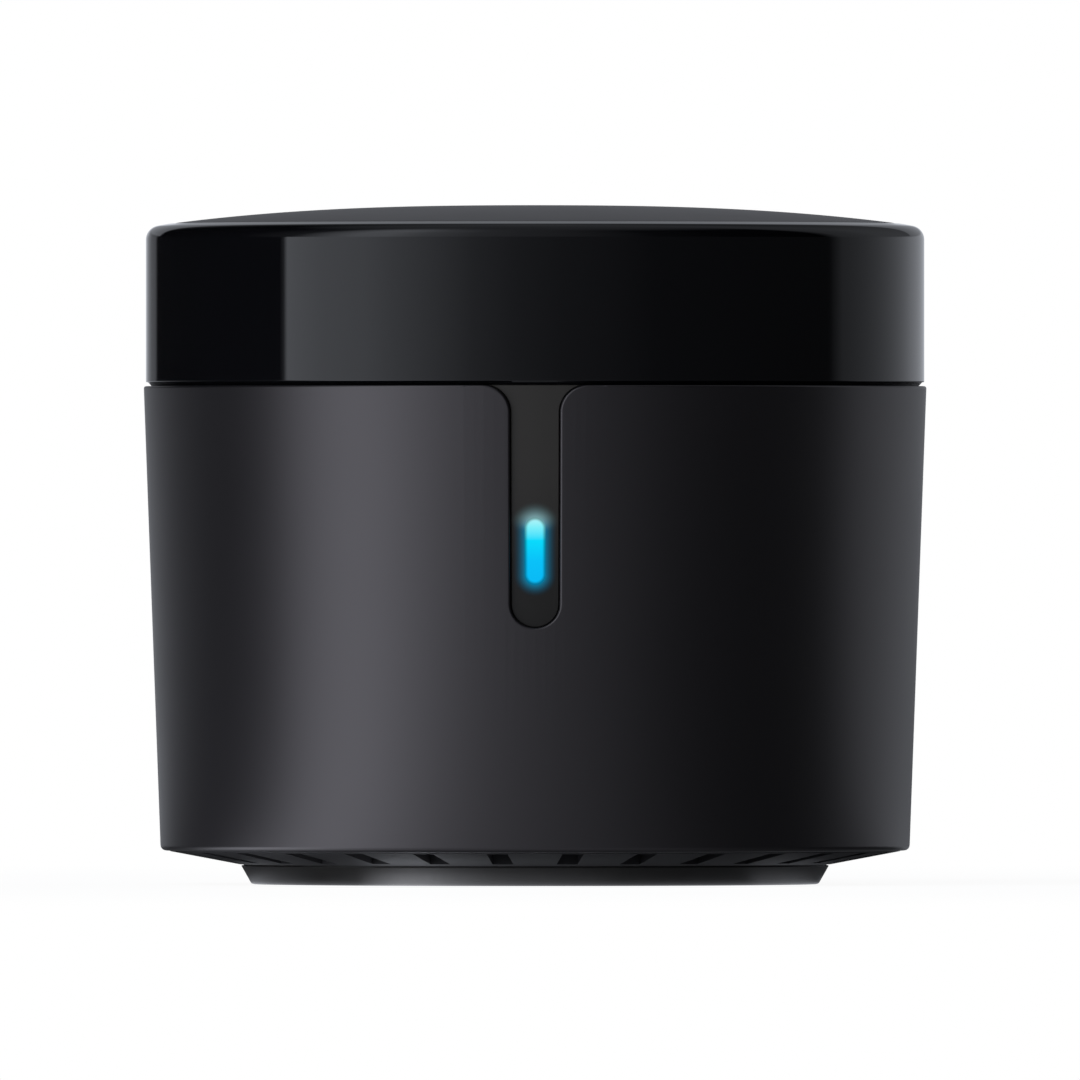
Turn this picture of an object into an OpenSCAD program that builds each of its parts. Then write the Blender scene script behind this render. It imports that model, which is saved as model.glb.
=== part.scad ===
// Smart infrared blaster: a round desk-top hub that sends remote-control codes to the whole room.
// Millimetres, +Z up, origin on the table under the middle of the foot. The lit window faces -Y.

/* [Foot] */
// How far the foot's underside is set in from the shell's lower edge
foot_inset = 5.82; // [5.7:0.02:6]
// How much wider the foot is at its top than at its underside
foot_flare = 0.64; // [0.3:0.02:0.7]
// Height of the foot's visible side
foot_h = 1.14; // [0.8:0.02:1.6]
// Rounding of the foot's upper edge
foot_fillet = 0.15; // [0.05:0.01:0.3]
// How far the disc that locates the foot is set in from the foot's edge
foot_spigot_inset = 0.5; // [0.3:0.1:1.3]
// How far the grip groove in the underside is set in from the foot's edge
grip_inset = 1.8; // [1.6:0.1:8]
// Width of the grip groove
grip_w = 0.5; // [0.3:0.1:1]
// Depth of the grip groove
grip_depth = 0.2; // [0.1:0.05:0.4]

/* [Base cover] */
// Width of the flat ring round the foot, inside the conical underside
base_flat_w = 0.16; // [0.16:0.02:0.6]
// Shadow gap between the foot's upper edge and the base
shadow_gap = 0.13; // [0.05:0.01:0.3]
// Rise of the conical underside
base_rise = 0.83; // [0.7:0.01:1.4]
// Depth of the recess that holds the foot
foot_recess = 0.33; // [0.3:0.01:0.6]
// Thickness of the base's floor above that recess
floor_t = 1.1; // [0.9:0.1:1.6]
// Number of vent slots
slot_count = 30; // [20:2:32]
// Width of a vent slot
slot_w = 1.34; // [0.8:0.02:1.6]
// Distance from the flat ring out to the vent slots
slot_setback = 0.6; // [0.5:0.02:1.8]
// Rim left outside the vent slots
slot_rim = 0.25; // [0.25:0.05:0.6]
// Height of the vent slots' arch above the shell's seat
slot_arch = 0.3; // [0.1:0.05:0.6]
// Thickness of the ring that locates the base in the shell
ring_t = 0.8; // [0.6:0.1:1.2]
// Height of that ring above the shell's seat
ring_h = 1.2; // [0.8:0.1:1.8]
// Height of the standoffs that carry the main board
standoff_h = 5.7; // [5.4:0.1:7]
// Outer radius of a standoff
standoff_r = 2.1; // [1.8:0.1:2.4]
// How far the standoffs' middles are set in from the main board's edge
standoff_inset = 6; // [5.5:0.1:6.5]
// Height of the seats round the base screws
screw_seat_h = 0.9; // [0.7:0.1:1.2]
// Radius of those seats
screw_seat_r = 3; // [2.7:0.1:3.4]

/* [Main shell] */
// Outer radius of the shell at its upper edge, the widest place of the case
shell_top_r = 25; // [24.8:0.1:27]
// How much narrower the shell is at its lower edge
shell_taper = 1.08; // [0.6:0.02:1.2]
// Height of the shell alone
shell_h = 29.65; // [29:0.05:34]
// Thickness of the shell's wall
wall_t = 1.8; // [1.6:0.05:1.95]
// Rounding of the shell's lower edge
lower_fillet = 0.35; // [0.15:0.05:0.5]
// Chamfer of the shell's upper edge
upper_chamfer = 0.12; // [0.05:0.01:0.2]
// Thickness of the lip that hides the base cover's edge
lip_t = 0.52; // [0.4:0.02:0.7]
// Height of that lip
lip_h = 1; // [0.8:0.05:1.3]
// Step from the lip's lower edge up to the base cover's edge
lip_step = 0.05; // [0.02:0.01:0.15]
// Width of the ledge that the inner frame stands on
ledge_w = 0.5; // [0.3:0.05:0.7]
// Outer radius of the bosses for the base screws
boss_r = 2.2; // [1.9:0.1:2.4]
// Thickness of the ribs that carry those bosses
rib_t = 1.4; // [1:0.1:2]

/* [Parting line] */
// Height of the dark groove between shell and cap
seam_gap = 0.25; // [0.15:0.05:0.4]
// Depth of that groove
seam_depth = 0.26; // [0.2:0.02:0.9]

/* [Cap] */
// How much narrower the cap is than the shell's upper edge
cap_step = 0.14; // [0.05:0.01:0.3]
// Height of the cap from the groove to its rim
cap_h = 10.14; // [9.9:0.02:13]
// Thickness of the cap's side wall
cap_wall_t = 1.6; // [1.5:0.05:1.75]
// Thickness of the cap's top wall, under the plate
cap_floor_t = 1.2; // [0.9:0.05:1.3]
// Rounding of the cap's upper edge
cap_fillet = 0.9; // [0.5:0.05:1.1]
// Width of the cap's rim round the plate
rim_w = 1.56; // [1.3:0.02:1.8]
// Slope of the rim's upper face, in degrees
rim_slope = 10; // [0:1:20]

/* [Top plate] */
// Rise of the domed plate from its edge to its middle
dome_rise = 1.16; // [0.4:0.02:2]
// How fast the dome falls away towards its edge
dome_power = 2.6; // [2:0.1:3.5]
// Thickness of the plate
plate_t = 1; // [0.8:0.05:1.3]
// Thickness of the tape under the plate
tape_t = 0.2; // [0.1:0.05:0.3]
// Width of the tape ring
tape_w = 2.4; // [1.5:0.1:4]

/* [Front groove] */
// Width of the groove down the front
groove_w = 3.06; // [2.4:0.02:3.6]
// Length of the groove, from the shell's upper edge down
groove_l = 15.4; // [14.2:0.1:20]
// Radius of the flare where the groove meets the parting line
flare_r = 1.72; // [1:0.02:2.4]
// Depth of the groove's strip below the shell's surface
strip_recess = 0.3; // [0.15:0.05:0.45]
// Thickness of the strip
strip_t = 0.7; // [0.4:0.05:0.75]

/* [Light pipe] */
// Width of the lit window
window_w = 1.22; // [0.8:0.02:1.6]
// Height of the lit window
window_h = 4.24; // [3:0.02:5]
// Distance from the shell's upper edge down to the window's middle
window_drop = 10.53; // [9.5:0.01:11.2]
// Depth of the pipe's seat behind the shell's surface
pipe_seat = 3.1; // [2.9:0.05:3.3]
// Thickness of the pipe's flange
flange_t = 0.8; // [0.6:0.05:0.9]
// Margin of the flange round the pipe
flange_margin = 0.7; // [0.4:0.05:1]
// Thickness of the pipe's riser, front to back
riser_t = 1.6; // [1.2:0.05:1.8]

/* [Power inlet] */
// Width of the recess that takes a plug's grip
plug_recess_w = 11.4; // [10.8:0.1:11.8]
// Height of that recess
plug_recess_h = 7.4; // [6.8:0.1:7.6]
// Corner radius of that recess
plug_recess_corner = 1.7; // [1:0.1:3]
// Depth of that recess
plug_recess_depth = 1.9; // [1.6:0.05:2]
// Thickness of the wall behind the recess
port_wall_t = 1; // [0.8:0.05:1.1]
// Width of the inlet's metal shell
socket_w = 7.5; // [7:0.1:7.9]
// Height of the inlet's metal shell
socket_h = 2.7; // [2.4:0.05:3]
// Depth of the inlet's metal shell
socket_depth = 5.6; // [4.8:0.1:6]
// Sheet thickness of the inlet's metal shell
socket_t = 0.3; // [0.2:0.02:0.35]
// Chamfer of the inlet's lower corners
socket_chamfer = 0.8; // [0.4:0.05:1]
// Width of the contact tongue
tongue_w = 4.4; // [4:0.1:4.8]
// Thickness of the contact tongue
tongue_t = 0.6; // [0.5:0.05:0.7]
// Number of contacts on the tongue
contact_count = 5; // [4:1:5]
// Width of a contact
contact_w = 0.35; // [0.25:0.05:0.45]
// Thickness of a contact
contact_t = 0.12; // [0.08:0.02:0.16]

/* [Reset button] */
// Distance from the inlet's middle to the button's, along the case's wall
button_spread = 10.16; // [9.8:0.02:16]
// Radius of the button's head
button_r = 1.15; // [0.9:0.05:1.4]
// Distance of the button's face below the shell's surface
button_recess = 0.3; // [0.1:0.05:0.6]
// Travel of the button
button_travel = 0.3; // [0.2:0.05:0.4]
// Thickness of the wall at the button
button_wall_t = 2.3; // [2.2:0.05:2.4]
// Radius of the flange that keeps the button in
button_flange_r = 1.95; // [1.8:0.05:2.1]
// Thickness of that flange
button_flange_t = 0.7; // [0.5:0.05:0.8]
// Radius of the button's stem
stem_r = 0.75; // [0.6:0.05:0.9]
// Width of the push switch
switch_w = 4.6; // [4.2:0.1:5]
// Depth of the push switch
switch_depth = 3.6; // [3.2:0.1:4]
// Height of the push switch
switch_h = 3.5; // [3.2:0.1:3.8]
// Distance from the board's edge back to the switch's front
switch_setback = 1.2; // [1:0.05:1.3]
// Radius of the switch's plunger
plunger_r = 0.9; // [0.7:0.05:1]
// Length of plunger that stands out of the switch
plunger_out = 0.8; // [0.6:0.05:0.9]
// Length of plunger inside the switch
plunger_in = 0.9; // [0.7:0.05:1.2]

/* [Inner frame] */
// Depth of the frame below the shell's upper edge
frame_drop = 4.3; // [3.9:0.1:5]
// Height of the frame above the shell's upper edge
frame_rise = 2; // [1.8:0.05:2.1]
// Thickness of the frame's ring
frame_t = 1.4; // [1.1:0.05:1.5]
// Height of the bosses that carry the LED board
frame_boss_h = 3.5; // [3.4:0.1:4]
// How far those bosses' middles are set in from the LED board's edge
frame_boss_inset = 3.2; // [3:0.05:3.4]
// Height of the snap beads
bead_h = 0.9; // [0.6:0.05:1]
// How far the snap beads stand out
bead_out = 0.3; // [0.15:0.05:0.4]
// Arc that each snap bead covers, in degrees
bead_arc = 30; // [20:1:50]

/* [Circuit boards] */
// Thickness of both boards
board_t = 1.2; // [1:0.1:1.6]
// Clearance between the main board's edge and the shell
board_gap = 1.62; // [1.5:0.02:1.8]
// Clearance between the LED board's edge and the inner frame
led_board_gap = 1.3; // [1.1:0.05:1.5]

/* [Main board parts] */
// Side of the status light
status_led_w = 1.6; // [1.2:0.1:1.8]
// Height of the status light
status_led_h = 0.7; // [0.5:0.05:0.8]
// Distance from the board's edge to the middle of the status light
status_led_setback = 1.1; // [1:0.05:1.2]
// Radius of the can capacitor
capacitor_r = 2.5; // [2:0.1:2.8]
// Height of the can capacitor
capacitor_h = 5.4; // [4.5:0.1:5.5]
// Height of the can capacitor's plastic base
capacitor_base_h = 0.8; // [0.6:0.1:1.2]

/* [Board link] */
// Number of pins between the boards
pin_count = 6; // [4:1:6]
// Distance between the pins
pin_pitch = 2; // [1.8:0.05:2.1]
// Side of a pin
pin_w = 0.6; // [0.5:0.02:0.64]
// Height of the link's spacers
spacer_h = 2.4; // [1.8:0.1:2.6]
// Width of the link's spacers, front to back
spacer_w = 2.4; // [2:0.1:2.6]

/* [Infrared LEDs] */
// Number of infrared LEDs
led_count = 6; // [4:2:6]
// Radius of an LED's body
led_r = 2.5; // [2.3:0.05:2.6]
// Radius of an LED's flange
led_flange_r = 2.9; // [2.7:0.02:2.96]
// Thickness of an LED's flange
led_flange_t = 1; // [0.8:0.05:1.1]
// Length of an LED from its flange to its tip
led_l = 8.3; // [8:0.1:8.4]
// Distance from an LED's tip to the cap
led_tip_gap = 0.56; // [0.4:0.02:0.7]
// Height of the LEDs' axes above their board
led_axis_h = 3.3; // [3.1:0.05:3.6]
// Side of an LED's lead
lead_w = 0.5; // [0.4:0.05:0.6]
// Distance between an LED's leads
lead_pitch = 2.54; // [2:0.02:2.6]
// Length of lead behind the LED, up to its bend
lead_l = 1.2; // [0.8:0.05:1.3]
// Thickness of the LED holder's ring
holder_t = 0.4; // [0.3:0.05:0.45]
// Width of the LED holder's ring
holder_w = 4.5; // [4.4:0.05:4.7]
// Width of an LED's cradle
cradle_w = 6.2; // [5.8:0.1:6.4]

/* [Infrared receiver] */
// How far the receiver's front is set in from the LED board's edge
receiver_inset = 5.4; // [5.3:0.05:5.6]
// Radius of the receiver's lens
lens_r = 1.9; // [1.6:0.05:2]
// Sheet thickness of the receiver's shield
receiver_shield_t = 0.25; // [0.15:0.05:0.3]

/* [Screws] */
// Radius of the screws' heads
head_r = 1.75; // [1.6:0.05:1.8]
// Height of the screws' heads
head_h = 0.9; // [0.8:0.05:1]
// Radius of the screws' threads
thread_r = 0.95; // [0.8:0.05:1.05]
// Length of a base screw under its head
base_screw_l = 4.8; // [4:0.1:5.2]
// Length of a board screw under its head
board_screw_l = 4.8; // [4:0.1:5.2]
// Length of an LED board screw under its head
led_screw_l = 4; // [3:0.1:4.1]
// Length of a screw's tapered tip
tip_l = 0.6; // [0.4:0.1:0.8]
// Width of the cross slots in the heads
cross_w = 0.4; // [0.3:0.05:0.5]

/* [Clearances] */
// Clearance all round parts that slip into one another
fit_gap = 0.1; // [0.05:0.01:0.13]
// Clearance all round parts that are pressed or bonded together
bond_gap = 0.05; // [0.03:0.01:0.06]
// Clearance all round the moving button
running_gap = 0.2; // [0.15:0.01:0.25]
// Clearance between the button's flange and the wall at rest
button_rest_gap = 0.1; // [0.05:0.01:0.15]
// Clearance between the top plate and the cap's rim
plate_gap = 0.08; // [0.04:0.01:0.12]
// Clearance all round the screws in their clearance holes
screw_gap = 0.2; // [0.1:0.02:0.25]

/* [Hidden] */

$fn = 72;
overrun = 0.5;
arc_steps = 6;
dome_steps = 16;

// Directions round the case, in degrees from +X
front = -90;
rear = 90;
screw_turns = [0, 120, 240];

// Radii of the foot and the base round it
shell_bottom_r = shell_top_r - shell_taper;
foot_r = shell_bottom_r - foot_inset;
foot_top_r = foot_r + foot_flare;
foot_spigot_r = foot_r - foot_spigot_inset;
grip_outer_r = foot_r - grip_inset;
base_flat_r = foot_top_r + base_flat_w;
slot_inner_r = base_flat_r + slot_setback;

// Heights of the base, from the table up
base_flat_z = foot_h + shadow_gap;
recess_z = base_flat_z + foot_recess;
base_floor_z = recess_z + floor_t;
base_edge_z = base_flat_z + base_rise;
shell_bottom_z = base_edge_z + lip_step;
seat_z = shell_bottom_z + lip_h;
ring_top_z = seat_z + ring_h;
screw_seat_z = base_floor_z + screw_seat_h;
board_z = base_floor_z + standoff_h;
board_top_z = board_z + board_t;

// Heights of the shell and what stands on it
seam_z = shell_bottom_z + shell_h;
cap_z = seam_z + seam_gap;
rim_z = cap_z + cap_h;
pocket_z = rim_z - plate_t - tape_t;
cap_ceiling_z = pocket_z - cap_floor_t;
ledge_z = seam_z - frame_drop;
frame_top_z = seam_z + frame_rise;
led_board_z = seam_z;
led_board_top_z = led_board_z + board_t;
led_axis_z = led_board_top_z + led_axis_h;
low_bead_z = ledge_z + bead_h + bead_out;
high_bead_z = frame_top_z - bead_h - fit_gap;

// Radii of the shell and of what fits in it
frame_bore_r = shell_top_r - wall_t;
cavity_top_r = frame_bore_r - ledge_w;
cavity_r = shell_bottom_r - wall_t;
lip_r = shell_bottom_r - lip_t;
cover_r = lip_r - fit_gap;
ring_r = cavity_r - fit_gap;
frame_r = frame_bore_r - fit_gap;
frame_inner_r = frame_r - frame_t;
board_r = cavity_r - board_gap;
standoff_ring_r = board_r - standoff_inset;
led_board_r = frame_inner_r - led_board_gap;
frame_boss_ring_r = led_board_r - frame_boss_inset;

// Radii of the cap
cap_r = shell_top_r - cap_step;
cap_inner_r = cap_r - cap_wall_t;
pocket_r = cap_r - rim_w;
plate_r = pocket_r - plate_gap;

// The base screws are hidden under the foot
counterbore_r = head_r + screw_gap;
counterbore_z = recess_z + head_h + bond_gap;
base_screw_ring_r = foot_spigot_r - counterbore_r - 2 * screw_gap;
boss_top_z = board_z - 3 * fit_gap;
pilot_r = thread_r + bond_gap;
pilot_spare = 2 * screw_gap;
clear_r = thread_r + screw_gap;

// The window and the light pipe
window_z = seam_z - window_drop;
pipe_seat_y = shell_outer_r(window_z) - pipe_seat;
elbow_y = pipe_seat_y - flange_t;
status_led_y = board_r - status_led_setback;
riser_foot_z = board_top_z + status_led_h + 2 * fit_gap;

// The inlet's recess, wall and socket
socket_z = board_top_z + socket_h / 2;
recess_floor_y = shell_outer_r(socket_z) - plug_recess_depth;
port_pad_y = recess_floor_y - port_wall_t;
socket_mouth_y = port_pad_y - fit_gap;
tongue_z = socket_z + socket_t / 2;
tongue_y = socket_mouth_y - 2 * socket_t;

// The button and the switch, along the button's own axis
button_z = board_top_z + switch_h / 2;
button_angle = button_spread / shell_outer_r(button_z) * 180 / PI;
button_face_y = shell_outer_r(button_z) - button_recess;
button_pad_y = shell_outer_r(button_z) - button_wall_t;
button_flange_y = button_pad_y - button_rest_gap;
switch_y = board_r - switch_setback;
plunger_y = switch_y + plunger_out;

// The LEDs, along their own axes
led_tip_r = cap_inner_r - led_tip_gap;
led_base_r = led_tip_r - led_l;
lead_bend_r = led_base_r - lead_l;
holder_r = led_board_r - 2 * fit_gap;
receiver_front = led_board_r - receiver_inset;

// Sizes of the bought-in parts: width, depth and height
wifi_size = [12, 16, 0.8];
shield_size = [10, 11, 2.2];
processor_size = [6, 6, 0.9];
regulator_size = [4, 5, 1.6];
inductor_size = [5, 5, 2.8];
chip_size = [1.6, 0.8, 0.55];
receiver_size = [5.6, 3.2, 5.6];
driver_size = [2.9, 1.3, 1.1];
resistor_size = [2, 1.25, 0.5];

// Places on the main board, as shares of its radius
wifi_shares = [-0.49, -0.15];
shield_shift_share = 0.1;
processor_shares = [0.12, -0.27];
regulator_shares = [0.47, -0.06];
inductor_shares = [0.76, -0.02];
capacitor_shares = [0.45, -0.45];
chip_row_shares = [[0.05, 0.12], [0.62, -0.3], [-0.1, 0.32]];
link_share = 0.53;
chips_per_row = 3;

// Places on the LED board, as shares of its radius
driver_ring_share = 0.25;
resistor_ring_share = 0.46;

// Outer radius of the shell at a height
function shell_outer_r(z) = shell_bottom_r + (shell_top_r - shell_bottom_r) * (z - shell_bottom_z) / shell_h;

// Points along an arc
function arc_points(centre, radius, from_angle, to_angle) = [
    for (i = [0 : arc_steps])
        let (a = from_angle + (to_angle - from_angle) * i / arc_steps)
            centre + radius * [cos(a), sin(a)]
];

// Angle of an LED, all round from the front with half a pitch on each side of it
function led_turn(i) = front + (i + 0.5) * 360 / led_count;

// Height of the dome over the plate's edge, at a share of its radius
function dome_z(share) = dome_rise * (1 - pow(share, dome_power));

// Solid of revolution of an outline in radius and height
module turned(outline) {
    rotate_extrude() polygon(outline);
}

// Solid cone that lies a depth below the shell's outer surface
module shell_core(depth) {
    low = shell_bottom_z - overrun;
    high = seam_z + overrun;
    translate([0, 0, low])
        cylinder(h = high - low, r1 = shell_outer_r(low) - depth, r2 = shell_outer_r(high) - depth);
}

// Prism of a flat outline, drawn in X and Z, from the case's middle to past its front
module to_front() {
    rotate([90, 0, 0]) linear_extrude(shell_top_r + overrun) children();
}

// Prism of a flat outline, drawn in X and Z, between two distances to the rear
module to_rear(from_y, to_y) {
    translate([0, to_y, 0]) rotate([90, 0, 0]) linear_extrude(to_y - from_y) children();
}

// Upright capsule outline
module capsule(width, height, grow = 0) {
    straight = height - width;
    for (side = [-1, 1])
        translate([0, side * straight / 2]) circle(r = width / 2 + grow);
    square([width + 2 * grow, straight], center = true);
}

// Rectangle with rounded corners
module rounded_rectangle(size, corner) {
    square([size[0] - 2 * corner, size[1]], center = true);
    square([size[0], size[1] - 2 * corner], center = true);
    for (x = [-1, 1], y = [-1, 1])
        translate([x * (size[0] / 2 - corner), y * (size[1] / 2 - corner)]) circle(r = corner);
}

// Block that stands on z = 0, centred on the axis
module block(size) {
    translate([-size[0] / 2, -size[1] / 2, 0]) cube(size);
}

// Pan-head screw that points down, with the underside of its head at z = 0
module screw(length) {
    difference() {
        cylinder(h = head_h, r = head_r);
        for (turn = [0, 90])
            rotate([0, 0, turn])
                translate([-thread_r, -cross_w / 2, head_h / 2])
                    cube([2 * thread_r, cross_w, head_h]);
    }
    translate([0, 0, tip_l - length]) cylinder(h = length - tip_l, r = thread_r);
    translate([0, 0, -length]) cylinder(h = tip_l, r1 = thread_r / 2, r2 = thread_r);
}

// Three copies round the case
module at_screws(turn, radius) {
    for (step = screw_turns)
        rotate([0, 0, turn + step]) translate([radius, 0, 0]) children();
}

// Outline of the front groove in X and Z, drawn in by a gap
module groove_outline(gap) {
    half_w = groove_w / 2 - gap;
    round_z = seam_z - groove_l + groove_w / 2;
    corner_x = groove_w / 2 + flare_r;
    translate([0, round_z]) circle(r = half_w);
    translate([-half_w, round_z]) square([2 * half_w, seam_z - round_z]);
    difference() {
        translate([-corner_x, seam_z - flare_r]) square([2 * corner_x, flare_r]);
        for (side = [-1, 1])
            translate([side * corner_x, seam_z - flare_r]) circle(r = flare_r + gap);
    }
}

// Foot

module foot_pad() {
    lean = atan2(foot_flare, foot_h);
    color("#2b2b2d")
        difference() {
            turned(concat(
                [[0, 0], [foot_r, 0]],
                arc_points([foot_top_r - foot_fillet, foot_h - foot_fillet], foot_fillet, -lean, 90),
                [[foot_spigot_r, foot_h], [foot_spigot_r, recess_z], [0, recess_z]]
            ));
            difference() {
                translate([0, 0, -overrun]) cylinder(h = overrun + grip_depth, r = grip_outer_r);
                translate([0, 0, -2 * overrun])
                    cylinder(h = 3 * overrun + grip_depth, r = grip_outer_r - grip_w);
            }
        }
}

// Base cover

module vent_slots() {
    pitch = 360 / slot_count;
    for (i = [0 : slot_count - 1])
        rotate([0, 0, front + (i + 0.5) * pitch])
            translate([slot_inner_r, -slot_w / 2, 0])
                cube([cover_r - slot_rim - slot_inner_r, slot_w, seat_z + slot_arch]);
}

module base_plate() {
    turned([
        [0, recess_z], [foot_spigot_r + fit_gap, recess_z],
        [foot_spigot_r + fit_gap, base_flat_z], [base_flat_r, base_flat_z],
        [cover_r, base_edge_z], [cover_r, seat_z], [ring_r, seat_z],
        [ring_r, ring_top_z], [ring_r - ring_t, ring_top_z],
        [ring_r - ring_t, base_floor_z], [0, base_floor_z]
    ]);
}

module base_cover() {
    pilot_l = board_screw_l - board_t + pilot_spare;
    color("#37363a")
        difference() {
            union() {
                base_plate();
                at_screws(rear, base_screw_ring_r)
                    translate([0, 0, recess_z]) cylinder(h = screw_seat_z - recess_z, r = screw_seat_r);
                at_screws(front, standoff_ring_r)
                    translate([0, 0, recess_z]) cylinder(h = board_z - recess_z, r = standoff_r);
            }
            vent_slots();
            at_screws(rear, base_screw_ring_r) {
                cylinder(h = counterbore_z, r = counterbore_r);
                cylinder(h = screw_seat_z + overrun, r = clear_r);
            }
            at_screws(front, standoff_ring_r)
                translate([0, 0, board_z - pilot_l]) cylinder(h = pilot_l + overrun, r = pilot_r);
            at_screws(rear, base_screw_ring_r)
                translate([0, -rib_t / 2 - fit_gap, screw_seat_z])
                    cube([cover_r - base_screw_ring_r, rib_t + 2 * fit_gap, ring_top_z]);
        }
}

module base_screws() {
    color("#b9bcc2")
        at_screws(rear, base_screw_ring_r)
            translate([0, 0, counterbore_z]) mirror([0, 0, 1]) screw(base_screw_l);
}

// Main shell

module shell_wall() {
    fillet_centre = [shell_bottom_r - lower_fillet, shell_bottom_z + lower_fillet];
    turned(concat(
        [[lip_r, shell_bottom_z]],
        arc_points(fillet_centre, lower_fillet, -90, 0),
        [[shell_outer_r(seam_z - upper_chamfer), seam_z - upper_chamfer],
         [shell_top_r - upper_chamfer, seam_z], [frame_bore_r, seam_z],
         [frame_bore_r, ledge_z], [cavity_top_r, ledge_z],
         [cavity_r, seat_z], [lip_r, seat_z]]
    ));
}

// Bosses for the base screws, on ribs from the wall
module shell_bosses() {
    height = boss_top_z - screw_seat_z;
    at_screws(rear, base_screw_ring_r) {
        translate([0, 0, screw_seat_z]) cylinder(h = height, r = boss_r);
        translate([0, -rib_t / 2, screw_seat_z])
            cube([shell_bottom_r - wall_t / 2 - base_screw_ring_r, rib_t, height]);
    }
}

// Pads inside the wall: the pipe's seat, the inlet's wall and the button's wall
module shell_pads() {
    seat_half = [window_w / 2 + 2 * flange_margin, window_h / 2 + 2 * flange_margin];
    intersection() {
        shell_core(wall_t / 2);
        union() {
            translate([-seat_half[0], -shell_top_r, window_z - seat_half[1]])
                cube([2 * seat_half[0], shell_top_r - pipe_seat_y, 2 * seat_half[1]]);
            to_rear(port_pad_y, shell_top_r)
                translate([0, socket_z])
                    square([plug_recess_w, plug_recess_h] + 2 * port_wall_t * [1, 1], center = true);
            rotate([0, 0, -button_angle])
                to_rear(button_pad_y, shell_top_r)
                    translate([0, button_z]) square(2 * button_flange_r + 4 * running_gap, center = true);
        }
    }
}

module groove_cut() {
    difference() {
        to_front() {
            groove_outline(0);
            translate([-groove_w / 2 - flare_r, seam_z]) square([groove_w + 2 * flare_r, overrun]);
        }
        shell_core(strip_recess + strip_t + bond_gap);
    }
}

module port_cuts() {
    to_rear(recess_floor_y, shell_top_r + overrun)
        translate([0, socket_z])
            rounded_rectangle([plug_recess_w, plug_recess_h], plug_recess_corner);
    to_rear(port_pad_y - overrun, shell_top_r)
        translate([0, socket_z])
            rounded_rectangle([socket_w + 4 * fit_gap, socket_h + 4 * fit_gap], socket_chamfer);
}

// Outline of a snap bead on a wall of the given radius, or of its groove with a gap
function bead_outline(radius, middle_z, gap = 0) = [
    [radius - bead_out, middle_z - bead_h - gap],
    [radius + bead_out, middle_z],
    [radius - bead_out, middle_z + bead_h + gap]
];

module main_shell() {
    pilot_l = base_screw_l - (screw_seat_z - counterbore_z) + pilot_spare;
    color("#3d3c40")
        difference() {
            union() {
                shell_wall();
                shell_bosses();
                shell_pads();
            }
            groove_cut();
            to_front() translate([0, window_z]) capsule(window_w, window_h, bond_gap);
            port_cuts();
            rotate([0, 0, -button_angle])
                to_rear(button_pad_y - overrun, shell_top_r + overrun)
                    translate([0, button_z]) circle(r = button_r + running_gap);
            at_screws(rear, base_screw_ring_r)
                translate([0, 0, screw_seat_z - overrun]) cylinder(h = pilot_l + overrun, r = pilot_r);
            turned(bead_outline(frame_bore_r, low_bead_z, fit_gap));
        }
}

// Strip that lines the front groove
module front_insert() {
    color("#2c2c2e")
        difference() {
            intersection() {
                to_front() groove_outline(bond_gap);
                shell_core(strip_recess);
            }
            shell_core(strip_recess + strip_t);
            to_front() translate([0, window_z]) capsule(window_w, window_h, bond_gap);
        }
}

// Clear pipe that brings the status light up to the window
module light_pipe() {
    window_low = window_z - window_h / 2;
    window_high = window_z + window_h / 2;
    riser_front = status_led_y + riser_t / 2;
    riser_back = status_led_y - riser_t / 2;
    flange = [window_w + 2 * flange_margin, flange_t, window_h + 2 * flange_margin];
    color("#23b8ee") {
        intersection() {
            shell_core(strip_recess);
            difference() {
                to_front() translate([0, window_z]) capsule(window_w, window_h);
                translate([-window_w, -elbow_y, window_low - overrun])
                    cube([2 * window_w, elbow_y + overrun, window_h + 2 * overrun]);
            }
        }
        translate([0, -pipe_seat_y + flange_t / 2, window_z - flange[2] / 2]) block(flange);
        translate([-window_w / 2, 0, 0])
            rotate([90, 0, 90])
                linear_extrude(window_w)
                    polygon([
                        [-elbow_y, window_low], [-riser_front, window_low],
                        [-riser_front, riser_foot_z], [-riser_back, riser_foot_z],
                        [-riser_back, window_high - riser_t], [-riser_back - riser_t, window_high],
                        [-elbow_y, window_high]
                    ]);
    }
}

// Inner frame: joins shell and cap, carries the LED board
module frame_bead(middle_z) {
    rotate_extrude(angle = bead_arc) polygon(bead_outline(frame_r, middle_z));
}

module inner_frame() {
    pilot_l = led_screw_l - board_t + pilot_spare;
    boss_z = led_board_z - frame_boss_h;
    color("#1f1f21")
        difference() {
            union() {
                turned([
                    [frame_inner_r, ledge_z], [frame_r, ledge_z],
                    [frame_r, frame_top_z], [frame_inner_r, frame_top_z]
                ]);
                for (step = screw_turns)
                    rotate([0, 0, step - bead_arc / 2]) {
                        frame_bead(low_bead_z);
                        frame_bead(high_bead_z);
                    }
                at_screws(rear, frame_boss_ring_r) {
                    translate([0, 0, boss_z]) cylinder(h = frame_boss_h, r = boss_r);
                    translate([0, -rib_t / 2, boss_z])
                        cube([frame_r - frame_t / 2 - frame_boss_ring_r, rib_t, frame_boss_h]);
                }
            }
            at_screws(rear, frame_boss_ring_r)
                translate([0, 0, led_board_z - pilot_l]) cylinder(h = pilot_l + overrun, r = pilot_r);
        }
}

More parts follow.
